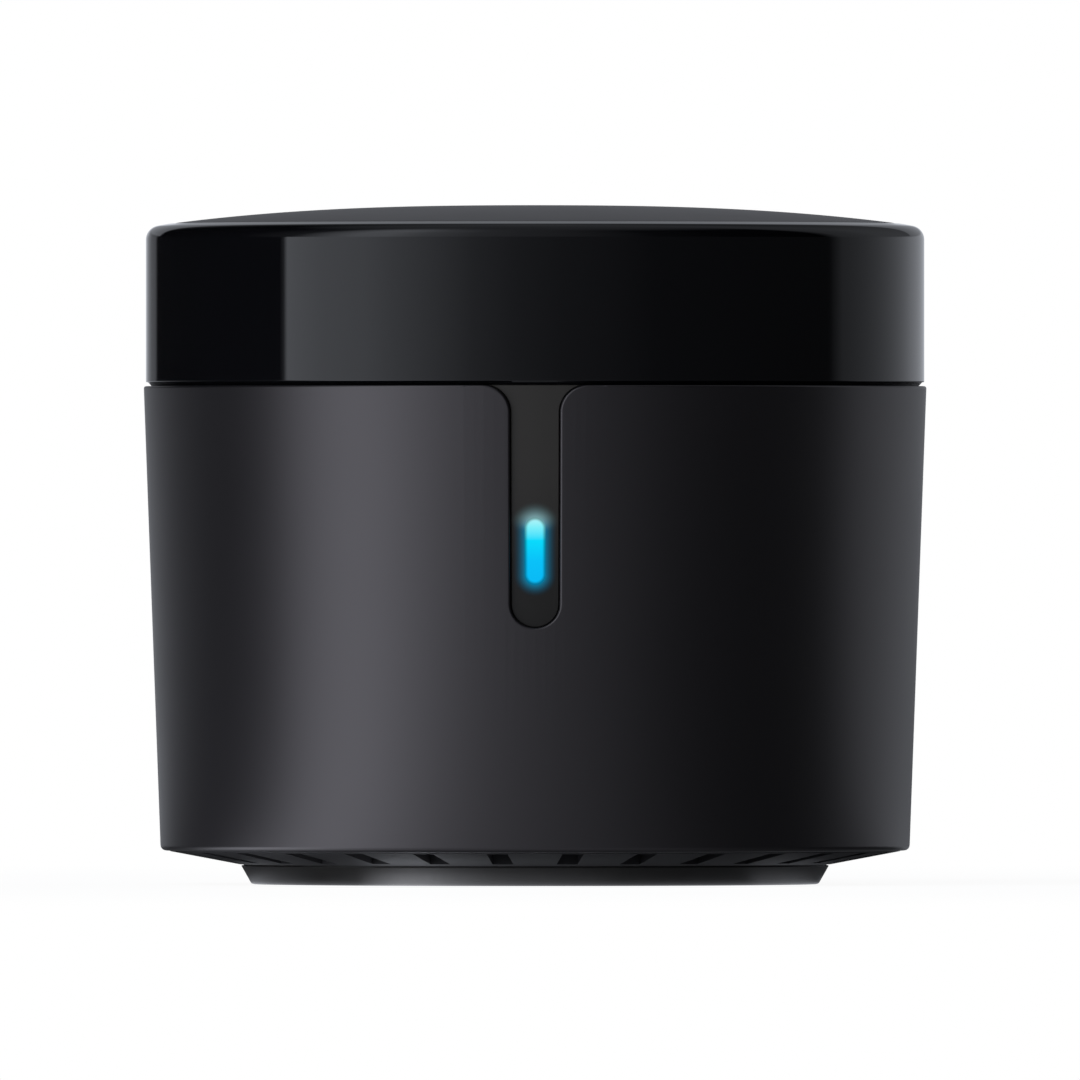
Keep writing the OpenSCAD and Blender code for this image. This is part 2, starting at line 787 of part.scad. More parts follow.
// Glossy cap that infrared light passes through
module ir_cap() {
    fillet_x = cap_r - cap_fillet;
    shoulder_x = fillet_x + cap_fillet * sin(rim_slope);
    shoulder_z = rim_z - (shoulder_x - pocket_r) * tan(rim_slope);
    fillet_z = shoulder_z - cap_fillet * cos(rim_slope);
    color("#0b0b0d")
        difference() {
            turned(concat(
                [[cap_inner_r, seam_z], [cap_r - seam_depth, seam_z],
                 [cap_r - seam_depth, cap_z], [cap_r, cap_z]],
                arc_points([fillet_x, fillet_z], cap_fillet, 0, 90 - rim_slope),
                [[pocket_r, rim_z], [pocket_r, pocket_z], [0, pocket_z],
                 [0, cap_ceiling_z], [cap_inner_r, cap_ceiling_z]]
            ));
            turned(bead_outline(cap_inner_r, high_bead_z, fit_gap));
        }
}

module plate_tape() {
    color("#d8d4c4")
        turned([
            [plate_r - tape_w, pocket_z], [plate_r - fit_gap, pocket_z],
            [plate_r - fit_gap, pocket_z + tape_t], [plate_r - tape_w, pocket_z + tape_t]
        ]);
}

// Domed disc in the cap's rim
module top_plate() {
    under_z = pocket_z + tape_t;
    inner_r = plate_r - tape_w;
    steps = [for (i = [0 : dome_steps]) i / dome_steps];
    color("#4a494d")
        turned(concat(
            [for (s = steps) [plate_r * s, rim_z + dome_z(s)]],
            [[plate_r, under_z], [inner_r, under_z]],
            [for (i = [dome_steps - 1 : -1 : 0])
                let (s = i / dome_steps)
                    [inner_r * s, under_z + dome_z(s)]]
        ));
}

// Reset button and its switch

module at_button() {
    rotate([0, 0, -button_angle]) translate([0, 0, button_z]) rotate([-90, 0, 0]) children();
}

module reset_button() {
    color("#202022")
        at_button() {
            translate([0, 0, button_flange_y]) cylinder(h = button_face_y - button_flange_y, r = button_r);
            translate([0, 0, button_flange_y - button_flange_t])
                cylinder(h = button_flange_t, r = button_flange_r);
            translate([0, 0, plunger_y])
                cylinder(h = button_flange_y - button_flange_t - plunger_y, r = stem_r);
        }
}

module switch_plunger() {
    color("#e6e2d8")
        at_button()
            translate([0, 0, switch_y - plunger_in]) cylinder(h = plunger_in + plunger_out, r = plunger_r);
}

module switch_body() {
    bore_l = plunger_in + button_travel + running_gap;
    color("#8f9297")
        difference() {
            rotate([0, 0, -button_angle])
                translate([0, switch_y - switch_depth / 2, board_top_z])
                    block([switch_w, switch_depth, switch_h]);
            at_button()
                translate([0, 0, switch_y - bore_l]) cylinder(h = bore_l + overrun, r = plunger_r + fit_gap);
        }
}

// Main board

module main_board() {
    color("#1d5a3a")
        difference() {
            translate([0, 0, board_z]) cylinder(h = board_t, r = board_r);
            at_screws(front, standoff_ring_r)
                translate([0, 0, board_z - overrun]) cylinder(h = board_t + 2 * overrun, r = clear_r);
        }
}

module board_screws() {
    color("#b9bcc2")
        at_screws(front, standoff_ring_r) translate([0, 0, board_top_z]) screw(board_screw_l);
}

// Outline of the power inlet in X and Z, drawn in by a gap
module socket_outline(gap) {
    half_w = socket_w / 2 - gap;
    high = socket_h / 2 - gap;
    polygon([
        [-half_w, high], [half_w, high], [half_w, socket_chamfer - high],
        [half_w - socket_chamfer, -high], [socket_chamfer - half_w, -high],
        [-half_w, socket_chamfer - high]
    ]);
}

module usb_socket() {
    back_y = socket_mouth_y - socket_depth;
    color("#c3c5c9")
        difference() {
            to_rear(back_y, socket_mouth_y) translate([0, socket_z]) socket_outline(0);
            to_rear(back_y + socket_t, socket_mouth_y + overrun)
                translate([0, socket_z]) socket_outline(socket_t);
        }
}

module usb_tongue() {
    back_y = socket_mouth_y - socket_depth + socket_t;
    color("#151516")
        to_rear(back_y, tongue_y)
            translate([0, tongue_z]) square([tongue_w, tongue_t], center = true);
}

module usb_contacts() {
    pitch = tongue_w / contact_count;
    contact_l = socket_depth - 4 * socket_t;
    color("#d9b45a")
        for (i = [0 : contact_count - 1])
            translate([(i + 0.5) * pitch - tongue_w / 2, tongue_y - socket_t - contact_l / 2, 0])
                translate([0, 0, tongue_z - tongue_t / 2 - contact_t])
                    block([contact_w, contact_l, contact_t]);
}

module status_led() {
    color("#eef6f8")
        translate([0, -status_led_y, board_top_z]) block([status_led_w, status_led_w, status_led_h]);
}

// Block that stands on the main board, at a place given as shares of the board's radius
module on_board(shares, size) {
    translate([shares[0] * board_r, shares[1] * board_r, board_top_z]) block(size);
}

module wifi_board() {
    color("#26324a") on_board(wifi_shares, wifi_size);
}

module wifi_shield() {
    color("#c9cbce")
        translate([0, 0, wifi_size[2]])
            on_board([wifi_shares[0], wifi_shares[1] + shield_shift_share], shield_size);
}

module processor() {
    color("#1b1b1d") on_board(processor_shares, processor_size);
}

module regulator() {
    color("#1b1b1d") on_board(regulator_shares, regulator_size);
}

module power_inductor() {
    color("#3c3c40") on_board(inductor_shares, inductor_size);
}

module filter_capacitor() {
    side = 2 * capacitor_r + 2 * fit_gap;
    color("#c9cbce") {
        on_board(capacitor_shares, [side, side, capacitor_base_h]);
        translate([capacitor_shares[0] * board_r, capacitor_shares[1] * board_r, board_top_z])
            cylinder(h = capacitor_h, r = capacitor_r);
    }
}

module chip_parts() {
    color("#b98a52")
        for (row = chip_row_shares, i = [0 : chips_per_row - 1])
            translate([i * 1.5 * chip_size[0], 0, 0]) on_board(row, chip_size);
}

// Pin header between the boards

module at_pins() {
    for (i = [0 : pin_count - 1])
        translate([(i - (pin_count - 1) / 2) * pin_pitch, link_share * board_r, 0]) children();
}

module link_spacer(z) {
    color("#151516")
        difference() {
            translate([0, link_share * board_r, z])
                block([pin_count * pin_pitch, spacer_w, spacer_h]);
            at_pins()
                translate([0, 0, z - overrun])
                    block([pin_w + bond_gap, pin_w + bond_gap, spacer_h + 2 * overrun]);
        }
}

module link_pins() {
    color("#d9b45a")
        at_pins() translate([0, 0, board_top_z]) block([pin_w, pin_w, led_board_z - board_top_z]);
}

// LED board

module led_board() {
    color("#1d5a3a")
        difference() {
            translate([0, 0, led_board_z]) cylinder(h = board_t, r = led_board_r);
            at_screws(rear, frame_boss_ring_r)
                translate([0, 0, led_board_z - overrun]) cylinder(h = board_t + 2 * overrun, r = clear_r);
        }
}

module led_screws() {
    color("#b9bcc2")
        at_screws(rear, frame_boss_ring_r) translate([0, 0, led_board_top_z]) screw(led_screw_l);
}

// Ring on the LED board with a cradle under each LED
module led_holder() {
    cradle_inner_r = led_base_r + led_flange_t + fit_gap;
    cradle_outer_r = led_tip_r - led_r - 2 * fit_gap;
    color("#e8e6e0")
        difference() {
            translate([0, 0, led_board_top_z]) {
                difference() {
                    cylinder(h = holder_t, r = holder_r);
                    translate([0, 0, -overrun])
                        cylinder(h = holder_t + 2 * overrun, r = holder_r - holder_w);
                }
                for (i = [0 : led_count - 1])
                    rotate([0, 0, led_turn(i)])
                        translate([cradle_inner_r, -cradle_w / 2, 0])
                            cube([cradle_outer_r - cradle_inner_r, cradle_w, led_axis_h]);
            }
            for (i = [0 : led_count - 1])
                rotate([0, 0, led_turn(i)])
                    translate([cradle_inner_r - overrun, 0, led_axis_z])
                        rotate([0, 90, 0]) cylinder(h = led_l, r = led_r + bond_gap);
            at_screws(rear, frame_boss_ring_r)
                translate([0, 0, led_board_top_z - overrun])
                    cylinder(h = led_axis_h + 2 * overrun, r = head_r + screw_gap);
        }
}

// Infrared LED number i, which looks outwards
module ir_led(i) {
    color("#3a2f52")
        rotate([0, 0, led_turn(i)]) translate([0, 0, led_axis_z]) rotate([0, 90, 0]) {
            translate([0, 0, led_base_r]) cylinder(h = led_flange_t, r = led_flange_r);
            translate([0, 0, led_base_r]) cylinder(h = led_l - led_r, r = led_r);
            translate([0, 0, led_tip_r - led_r]) sphere(r = led_r);
        }
}

module led_leads() {
    color("#c3c5c9")
        for (i = [0 : led_count - 1], side = [-1, 1])
            rotate([0, 0, led_turn(i)])
                translate([lead_bend_r, side * lead_pitch / 2 - lead_w / 2, led_board_top_z]) {
                    cube([lead_w, lead_w, led_axis_h + lead_w / 2]);
                    translate([0, 0, led_axis_h - lead_w / 2]) cube([lead_l, lead_w, lead_w]);
                }
}

// Receiver that learns other remotes' codes, behind the cap's front
module ir_receiver() {
    lens_z = led_board_top_z + receiver_size[2] / 2;
    color("#26262a") {
        translate([0, receiver_size[1] / 2 - receiver_front, led_board_top_z]) block(receiver_size);
        translate([0, -receiver_front, lens_z]) sphere(r = lens_r);
    }
}

module receiver_shield() {
    inner = [receiver_size[0] + 2 * bond_gap, receiver_size[1] + 2 * bond_gap, receiver_size[2] + bond_gap];
    wall = receiver_shield_t;
    lens_z = led_board_top_z + receiver_size[2] / 2;
    color("#c9cbce")
        translate([0, receiver_size[1] / 2 - receiver_front, 0])
            difference() {
                translate([0, 0, led_board_top_z])
                    block([inner[0] + 2 * wall, inner[1] + 2 * wall, inner[2] + wall]);
                translate([0, 0, led_board_top_z - overrun])
                    block([inner[0], inner[1], inner[2] + overrun]);
                translate([0, 0, lens_z])
                    rotate([90, 0, 0]) cylinder(h = receiver_size[1], r = lens_r + fit_gap);
            }
}

module drivers() {
    color("#1b1b1d")
        for (step = screw_turns)
            rotate([0, 0, front + step])
                translate([driver_ring_share * led_board_r, 0, led_board_top_z]) block(driver_size);
}

module led_resistors() {
    color("#30302f")
        for (i = [0 : led_count - 1])
            rotate([0, 0, led_turn(i)])
                translate([resistor_ring_share * led_board_r, 0, led_board_top_z]) block(resistor_size);
}

foot_pad();
base_cover();
base_screws();
main_shell();
front_insert();
light_pipe();
inner_frame();
ir_cap();
plate_tape();
top_plate();
reset_button();
switch_plunger();
switch_body();
main_board();
board_screws();
usb_socket();
usb_tongue();
usb_contacts();
status_led();
wifi_board();
wifi_shield();
processor();
regulator();
power_inductor();
filter_capacitor();
chip_parts();
link_spacer(board_top_z);  // link_base
link_spacer(led_board_z - spacer_h);  // link_top
link_pins();
led_board();
led_screws();
led_holder();
led_leads();
ir_receiver();
receiver_shield();
drivers();
led_resistors();
for (i = [1 : led_count])
    ir_led(i - 1);
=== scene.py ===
"""Looks of the smart infrared blaster: dressed pieces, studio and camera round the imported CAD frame."""

import cmath
import logging
import math
from collections.abc import Callable, Sequence
from dataclasses import dataclass
from enum import Enum
from functools import partialmethod

import bpy
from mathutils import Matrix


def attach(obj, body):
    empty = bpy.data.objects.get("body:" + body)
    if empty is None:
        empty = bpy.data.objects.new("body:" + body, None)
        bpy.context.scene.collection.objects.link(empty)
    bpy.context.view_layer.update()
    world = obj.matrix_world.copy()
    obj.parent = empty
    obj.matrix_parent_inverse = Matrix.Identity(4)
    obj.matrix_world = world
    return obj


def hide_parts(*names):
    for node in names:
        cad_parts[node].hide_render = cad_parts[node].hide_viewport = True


Point = tuple[float, float]
Place = tuple[float, float, float]
Colour = tuple[float, float, float]
Stops = tuple[tuple[float, float], ...]
Material = bpy.types.Material

MM = 0.001
NEAR = 1e-3
SLIT = 0.0005
BLACK = (0.0, 0.0, 0.0)
ARC_STEPS = 4
TURNED_STEPS = 240
CORNER_STEPS = 8
BAR_STEPS = 48
SMOOTH_ANGLE = math.radians(32)
LOG = logging.getLogger("blaster")

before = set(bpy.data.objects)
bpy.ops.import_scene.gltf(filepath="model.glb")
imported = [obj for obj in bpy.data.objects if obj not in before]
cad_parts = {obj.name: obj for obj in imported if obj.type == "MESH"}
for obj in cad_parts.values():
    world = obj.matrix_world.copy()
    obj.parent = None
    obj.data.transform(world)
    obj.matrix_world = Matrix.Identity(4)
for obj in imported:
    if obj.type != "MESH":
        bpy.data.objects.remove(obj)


def linear(red: int, green: int, blue: int) -> Colour:
    """Turns a colour as seen on a screen into the light that Blender works in.

    Args:
        red: Red, from 0 to 255.
        green: Green, from 0 to 255.
        blue: Blue, from 0 to 255.

    Returns:
        The three linear values.
    """
    shares = [value / 255 for value in (red, green, blue)]
    return tuple(s / 12.92 if s <= 0.04045 else ((s + 0.055) / 1.055) ** 2.4 for s in shares)


def opaque(colour: Colour) -> tuple[float, float, float, float]:
    """Returns the colour with a full alpha."""
    return (*colour, 1.0)


class Wire:
    """An output of a node. Sums and comparisons of wires that hold numbers add Math nodes."""

    def __init__(self, desk: "Desk", socket: bpy.types.NodeSocket) -> None:
        """Keeps the desk that adds nodes and the output's socket."""
        self.desk = desk
        self.socket = socket

    def combined(self, operation: str, other: object = None, mirrored: bool = False) -> "Wire":
        """Adds one Math node.

        Args:
            operation: Blender's name of the sum.
            other: The other wire or number, where the sum takes two.
            mirrored: Whether the other comes first.

        Returns:
            The wire of the result.
        """
        values = [self] if other is None else [self, other]
        inputs = dict(enumerate(reversed(values) if mirrored else values))
        return self.desk.wire("Math", inputs, operation=operation)

    __add__ = __radd__ = partialmethod(combined, "ADD")
    __sub__ = partialmethod(combined, "SUBTRACT")
    __rsub__ = partialmethod(combined, "SUBTRACT", mirrored=True)
    __mul__ = __rmul__ = partialmethod(combined, "MULTIPLY")
    __truediv__ = partialmethod(combined, "DIVIDE")
    __pow__ = partialmethod(combined, "POWER")
    __abs__ = partialmethod(combined, "ABSOLUTE")
    larger = partialmethod(combined, "MAXIMUM")

    def ramped(self, low: float, high: float) -> "Wire":
        """Returns a smooth step from 0 at low to 1 at high."""
        inputs = {"Value": self, "From Min": low, "From Max": high}
        return self.desk.wire("MapRange", inputs, interpolation_type="SMOOTHSTEP")

    def stepped(self, span: Point) -> "Wire":
        """Returns a smooth step from 0 at the span's first place to 1 at its second, in millimetres."""
        return self.ramped(span[0] * MM, span[1] * MM)


class Desk:
    """Adds nodes to one node tree and wires them."""

    def __init__(self, tree: bpy.types.NodeTree) -> None:
        """Empties the tree."""
        self.tree = tree
        tree.nodes.clear()

    def add(self, kind: str, inputs: dict | None = None, **settings: object) -> bpy.types.Node:
        """Adds one node.

        Args:
            kind: The node's type, without the words that all shader nodes' types begin with.
            inputs: Values or wires of its inputs, by name or number.
            settings: Its settings.

        Returns:
            The node.
        """
        node = self.tree.nodes.new("ShaderNode" + kind)
        for name, value in settings.items():
            setattr(node, name, value)
        for name, value in (inputs or {}).items():
            if isinstance(value, Wire):
                self.tree.links.new(value.socket, node.inputs[name])
            else:
                node.inputs[name].default_value = value
        return node

    def wire(self, kind: str, inputs: dict | None = None, output: object = 0, **settings: object) -> Wire:
        """Adds a node and returns one of its outputs, by name or number."""
        return Wire(self, self.add(kind, inputs, **settings).outputs[output])

    def ramp(self, share: Wire, stops: Sequence[tuple[float, Colour]]) -> Wire:
        """Adds a ramp of colours.

        Args:
            share: The place on the ramp that is read, from 0 to 1.
            stops: The ramp's places and their colours.

        Returns:
            The colour.
        """
        node = self.add("ValToRGB", {0: share})
        elements = node.color_ramp.elements
        while len(elements) < len(stops):
            elements.new(1.0)
        for element, (place, colour) in zip(elements, stops):
            element.position = place
            element.color = opaque(colour)
        return Wire(self, node.outputs[0])

    def to_eye(self) -> Wire:
        """Returns 1 for rays that reach the eye straight or through a clear piece, and 0 for all others."""
        rays = self.add("LightPath").outputs
        return Wire(self, rays["Is Camera Ray"]).larger(Wire(self, rays["Is Transmission Ray"]))

    def place(self, source: str = "Object") -> tuple[Wire, Wire, Wire, Wire]:
        """Returns X, Y, Z and all three of the object's own metres, or of another of Blender's sources."""
        spot = self.wire("TexCoord", output=source)
        parts = self.add("SeparateXYZ", {0: spot}).outputs
        return *(Wire(self, part) for part in parts), spot

    def grain(self, spot: Wire, size: float, detail: float = 2.0) -> Wire:
        """Returns a fine noise.

        Args:
            spot: The place.
            size: Size of the grain in millimetres.
            detail: How many finer grains it holds.

        Returns:
            The noise, from 0 to 1.
        """
        inputs = {"Vector": spot, "Scale": 1 / (size * MM), "Detail": detail}
        return self.wire("TexNoise", inputs)

    def blend(self, share: object, low: object, high: object) -> Wire:
        """Returns a colour between low and high, at a share of the way."""
        low, high = (end if isinstance(end, Wire) else opaque(end) for end in (low, high))
        return self.wire("Mix", {0: share, 6: low, 7: high}, 2, data_type="RGBA")

    def bump(self, height: Wire, depth: float) -> Wire:
        """Returns a normal that follows a height, depth millimetres from its lowest to its highest."""
        inputs = {"Height": height, "Strength": 1.0, "Distance": depth * MM}
        return self.wire("Bump", inputs)


def new_material(name: str) -> tuple[Material, Desk]:
    """Makes an empty node material.

    Args:
        name: The material's name.

    Returns:
        The material and the desk of its nodes.
    """
    material = bpy.data.materials.new(name)
    material.use_nodes = True
    return material, Desk(material.node_tree)


def off_line(x: Wire, z: Wire, middle_z: float, half: float) -> Wire:
    """Measures how far a place lies from an upright line, seen from the front.

    Args:
        x: The place's X.
        z: The place's Z.
        middle_z: Height of the line's middle, in millimetres.
        half: Half of the line's length, in millimetres.

    Returns:
        The distance, in metres.
    """
    over = (abs(z - middle_z * MM) - half * MM).larger(0.0)
    return (x * x + over * over) ** 0.5


@dataclass(frozen=True)
class Finish:
    """What a surface is made of."""

    name: str

    def settings(self, desk: Desk) -> dict:
        """Adds the nodes that the finish needs.

        Args:
            desk: The desk of the material's nodes.

        Returns:
            The inputs of the material's shader.
        """
        raise NotImplementedError

    def material(self) -> Material:
        """Makes the finish's material.

        Returns:
            The material.
        """
        material, desk = new_material(self.name)
        shader = desk.wire("BsdfPrincipled", self.settings(desk))
        desk.add("OutputMaterial", {"Surface": shader})
        return material


@dataclass(frozen=True)
class MouldedPlastic(Finish):
    """Plastic from a mould: a base colour that varies a little, and a fine eroded grain."""

    colour: Colour
    roughness: float = 0.4
    gloss: float = 0.5
    sheen_tint: Colour = (1.0, 1.0, 1.0)
    variation: float = 0.06
    cloud: float = 6.0
    grain: float = 0.09
    grain_depth: float = 0.0012

    def settings(self, desk: Desk) -> dict:
        """Adds the nodes and returns the shader's inputs."""
        _, _, _, spot = desk.place()
        clouds = desk.grain(spot, self.cloud)
        fine = desk.grain(spot, self.grain, 1.0)
        light = tuple(c * (1 + self.variation) for c in self.colour)
        dark = tuple(c * (1 - self.variation) for c in self.colour)
        rough = self.roughness - 0.02 + 0.03 * clouds + 0.01 * fine
        return {
            "Base Color": desk.blend(0.5 * clouds + 0.5 * fine, dark, light),
            "Roughness": rough,
            "Specular IOR Level": self.gloss,
            "Specular Tint": opaque(self.sheen_tint),
            "Normal": desk.bump(fine, self.grain_depth),
        }


@dataclass(frozen=True)
class PolishedPlastic(Finish):
    """Polished plastic with a faint film of fingermarks."""

    colour: Colour
    roughness: float = 0.05
    gloss: float = 0.5
    smear: float = 9.0
    speck: float = 0.6

    def settings(self, desk: Desk) -> dict:
        """Adds the nodes and returns the shader's inputs."""
        _, _, _, spot = desk.place()
        film = desk.grain(spot, self.smear, 3.0)
        specks = desk.grain(spot, self.speck)
        return {
            "Base Color": desk.blend(film, self.colour, tuple(c * 1.25 for c in self.colour)),
            "Roughness": self.roughness + 0.015 * film.ramped(0.45, 0.75) + 0.005 * specks,
            "Specular IOR Level": self.gloss,
        }


@dataclass(frozen=True)
class StripPlastic(Finish):
    """Dark strip of the front groove, with a painted glow round the lit window: emission painted into the
    strip, teal beside the window and whiter above it, over a base colour that goes to black beside the
    window.
    """

    colour: Colour
    # Colours of the painted glow round the window, beside it and above it.
    glow: Colour
    painted_high_glow: Colour
    window_z: float
    window_half_w: float
    window_half_straight: float
    reach: float = 0.85
    high_reach: float = 0.3
    high_span: Point = (1.2, 2.3)
    strength: float = 0.9
    falloff: float = 2.4
    # Painted shade: heights over which the strip darkens towards the bottom, and the share of its colour
    # left at the bottom.
    painted_shade_z: Point = (17.0, 27.0)
    painted_shade_share: float = 0.35
    roughness: float = 0.45
    gloss: float = 0.25
    grain: float = 0.09
    grain_depth: float = 0.001

    def settings(self, desk: Desk) -> dict:
        """Adds the nodes and returns the shader's inputs."""
        x, _, z, spot = desk.place()
        fine = desk.grain(spot, self.grain, 1.0)
        # Painted shade: the strip's base colour darker towards the bottom.
        dim = tuple(c * self.painted_shade_share for c in self.colour)
        plain = desk.blend(0.9 * z.stepped(self.painted_shade_z) + 0.1 * fine, dim, self.colour)
        # Painted glow: emission painted round the window and fading away from it, wider and whiter above
        # it; the base colour goes to black beneath it.
        away = off_line(x, z, self.window_z, self.window_half_straight) - self.window_half_w * MM
        high = z.stepped(tuple(self.window_z + over for over in self.high_span))
        near = (1 - away.larger(0.0) / (self.reach * MM * (1 + self.high_reach * high))).larger(0.0)
        base = desk.blend(near * (1 - high), plain, BLACK)
        glow = desk.blend(high, self.glow, self.painted_high_glow)
        return {
            "Base Color": base,
            "Roughness": self.roughness + 0.02 * fine,
            "Specular IOR Level": self.gloss,
            "Normal": desk.bump(fine, self.grain_depth),
            "Emission Color": desk.blend(near**self.falloff * self.strength, BLACK, glow),
            "Emission Strength": 1.0,
        }


@dataclass(frozen=True)
class LitPipe(Finish):
    """Lit light pipe: near white at its upper end, deeper blue below, and dimmer towards its rim."""

    low_z: float
    high_z: float
    half_w: float
    stops: Sequence[tuple[float, Colour]]
    rim: float = 0.24
    rim_level: float = 0.35
    body: Colour = (0.0, 0.01, 0.012)
    roughness: float = 0.3
    gloss: float = 0.1

    def settings(self, desk: Desk) -> dict:
        """Adds the nodes and returns the shader's inputs."""
        x, _, z, _ = desk.place()
        share = (z - self.low_z * MM) / ((self.high_z - self.low_z) * MM)
        half_straight = (self.high_z - self.low_z) / 2 - self.half_w
        out = off_line(x, z, (self.low_z + self.high_z) / 2, half_straight)
        inside = 1 - (1 - self.rim_level) * out.stepped((self.half_w - self.rim, self.half_w))
        return {
            "Base Color": opaque(self.body),
            "Roughness": self.roughness,
            "Specular IOR Level": self.gloss,
            "Emission Color": desk.blend(inside, BLACK, desk.ramp(share, self.stops)),
            "Emission Strength": 1.0,
        }


@dataclass(frozen=True)
class Rubber(Finish):
    """Moulded rubber with a dusty, uneven surface."""

    colour: Colour
    roughness: float = 0.6
    gloss: float = 0.5
    dust: float = 1.4
    dust_share: float = 1.3
    grain: float = 0.12
    grain_depth: float = 0.004

    def settings(self, desk: Desk) -> dict:
        """Adds the nodes and returns the shader's inputs."""
        _, _, _, spot = desk.place()
        dust = desk.grain(spot, self.dust, 4.0)
        fine = desk.grain(spot, self.grain, 1.0)
        dusty = tuple(c * self.dust_share for c in self.colour)
        return {
            "Base Color": desk.blend(dust.ramped(0.4, 0.8), self.colour, dusty),
            "Roughness": self.roughness - 0.03 + 0.08 * dust,
            "Specular IOR Level": self.gloss,
            "Normal": desk.bump(fine + 0.5 * dust, self.grain_depth),
        }


@dataclass(frozen=True)
class Metal(Finish):
    """Plated or bare metal with fine drawing lines and stains."""

    colour: Colour
    roughness: float = 0.28
    drawn: Place = (1.0, 0.08, 1.0)
    line: float = 0.12
    line_depth: float = 0.0006
    stain: float = 2.5
    stain_share: float = 0.82

    def settings(self, desk: Desk) -> dict:
        """Adds the nodes and returns the shader's inputs."""
        _, _, _, spot = desk.place()
        drawn = desk.wire("Mapping", {"Vector": spot, "Scale": self.drawn})
        lines = desk.grain(drawn, self.line, 3.0)
        stains = desk.grain(spot, self.stain, 3.0)
        stained = tuple(c * self.stain_share for c in self.colour)
        return {
            "Base Color": desk.blend(stains.ramped(0.35, 0.8), self.colour, stained),
            "Metallic": 1.0,
            "Roughness": self.roughness + 0.1 * lines + 0.06 * stains,
            "Normal": desk.bump(lines, self.line_depth),
        }


@dataclass(frozen=True)
class CircuitBoard(Finish):
    """Lacquered board: glass weave under solder mask, with copper tracks that show through it."""

    mask: Colour
    track: Colour
    cell: float = 3.4
    pitch: float = 0.11
    copper_w: Point = (0.028, 0.04)
    weave: float = 0.5

    def settings(self, desk: Desk) -> dict:
        """Adds the nodes and returns the shader's inputs."""
        x, y, _, spot = desk.place()
        inputs = {"Vector": spot, "Scale": 1 / (self.cell * MM), "Randomness": 0.8}
        cells = desk.wire("TexVoronoi", inputs, distance="MANHATTAN", feature="F1")
        copper = 1 - cells.combined("PINGPONG", self.pitch).ramped(*self.copper_w)
        turns = 2 * math.pi / (self.weave * MM)
        weave = (x * turns).combined("SINE") * (y * turns).combined("SINE")
        return {
            "Base Color": desk.blend(copper, self.mask, self.track),
            "Roughness": 0.3 + 0.05 * weave,
            "Coat Weight": 0.4,
            "Coat Roughness": 0.15,
            "Normal": desk.bump(copper * 2 + 0.3 * weave, 0.012),
        }


class Join(Enum):
    """How one solid meets another."""

    ADD = "UNION"
    CUT = "DIFFERENCE"


class Ends(Enum):
    """How a row of rings ends."""

    CAPPED = "NGON"
    JOINED = "NOTHING"


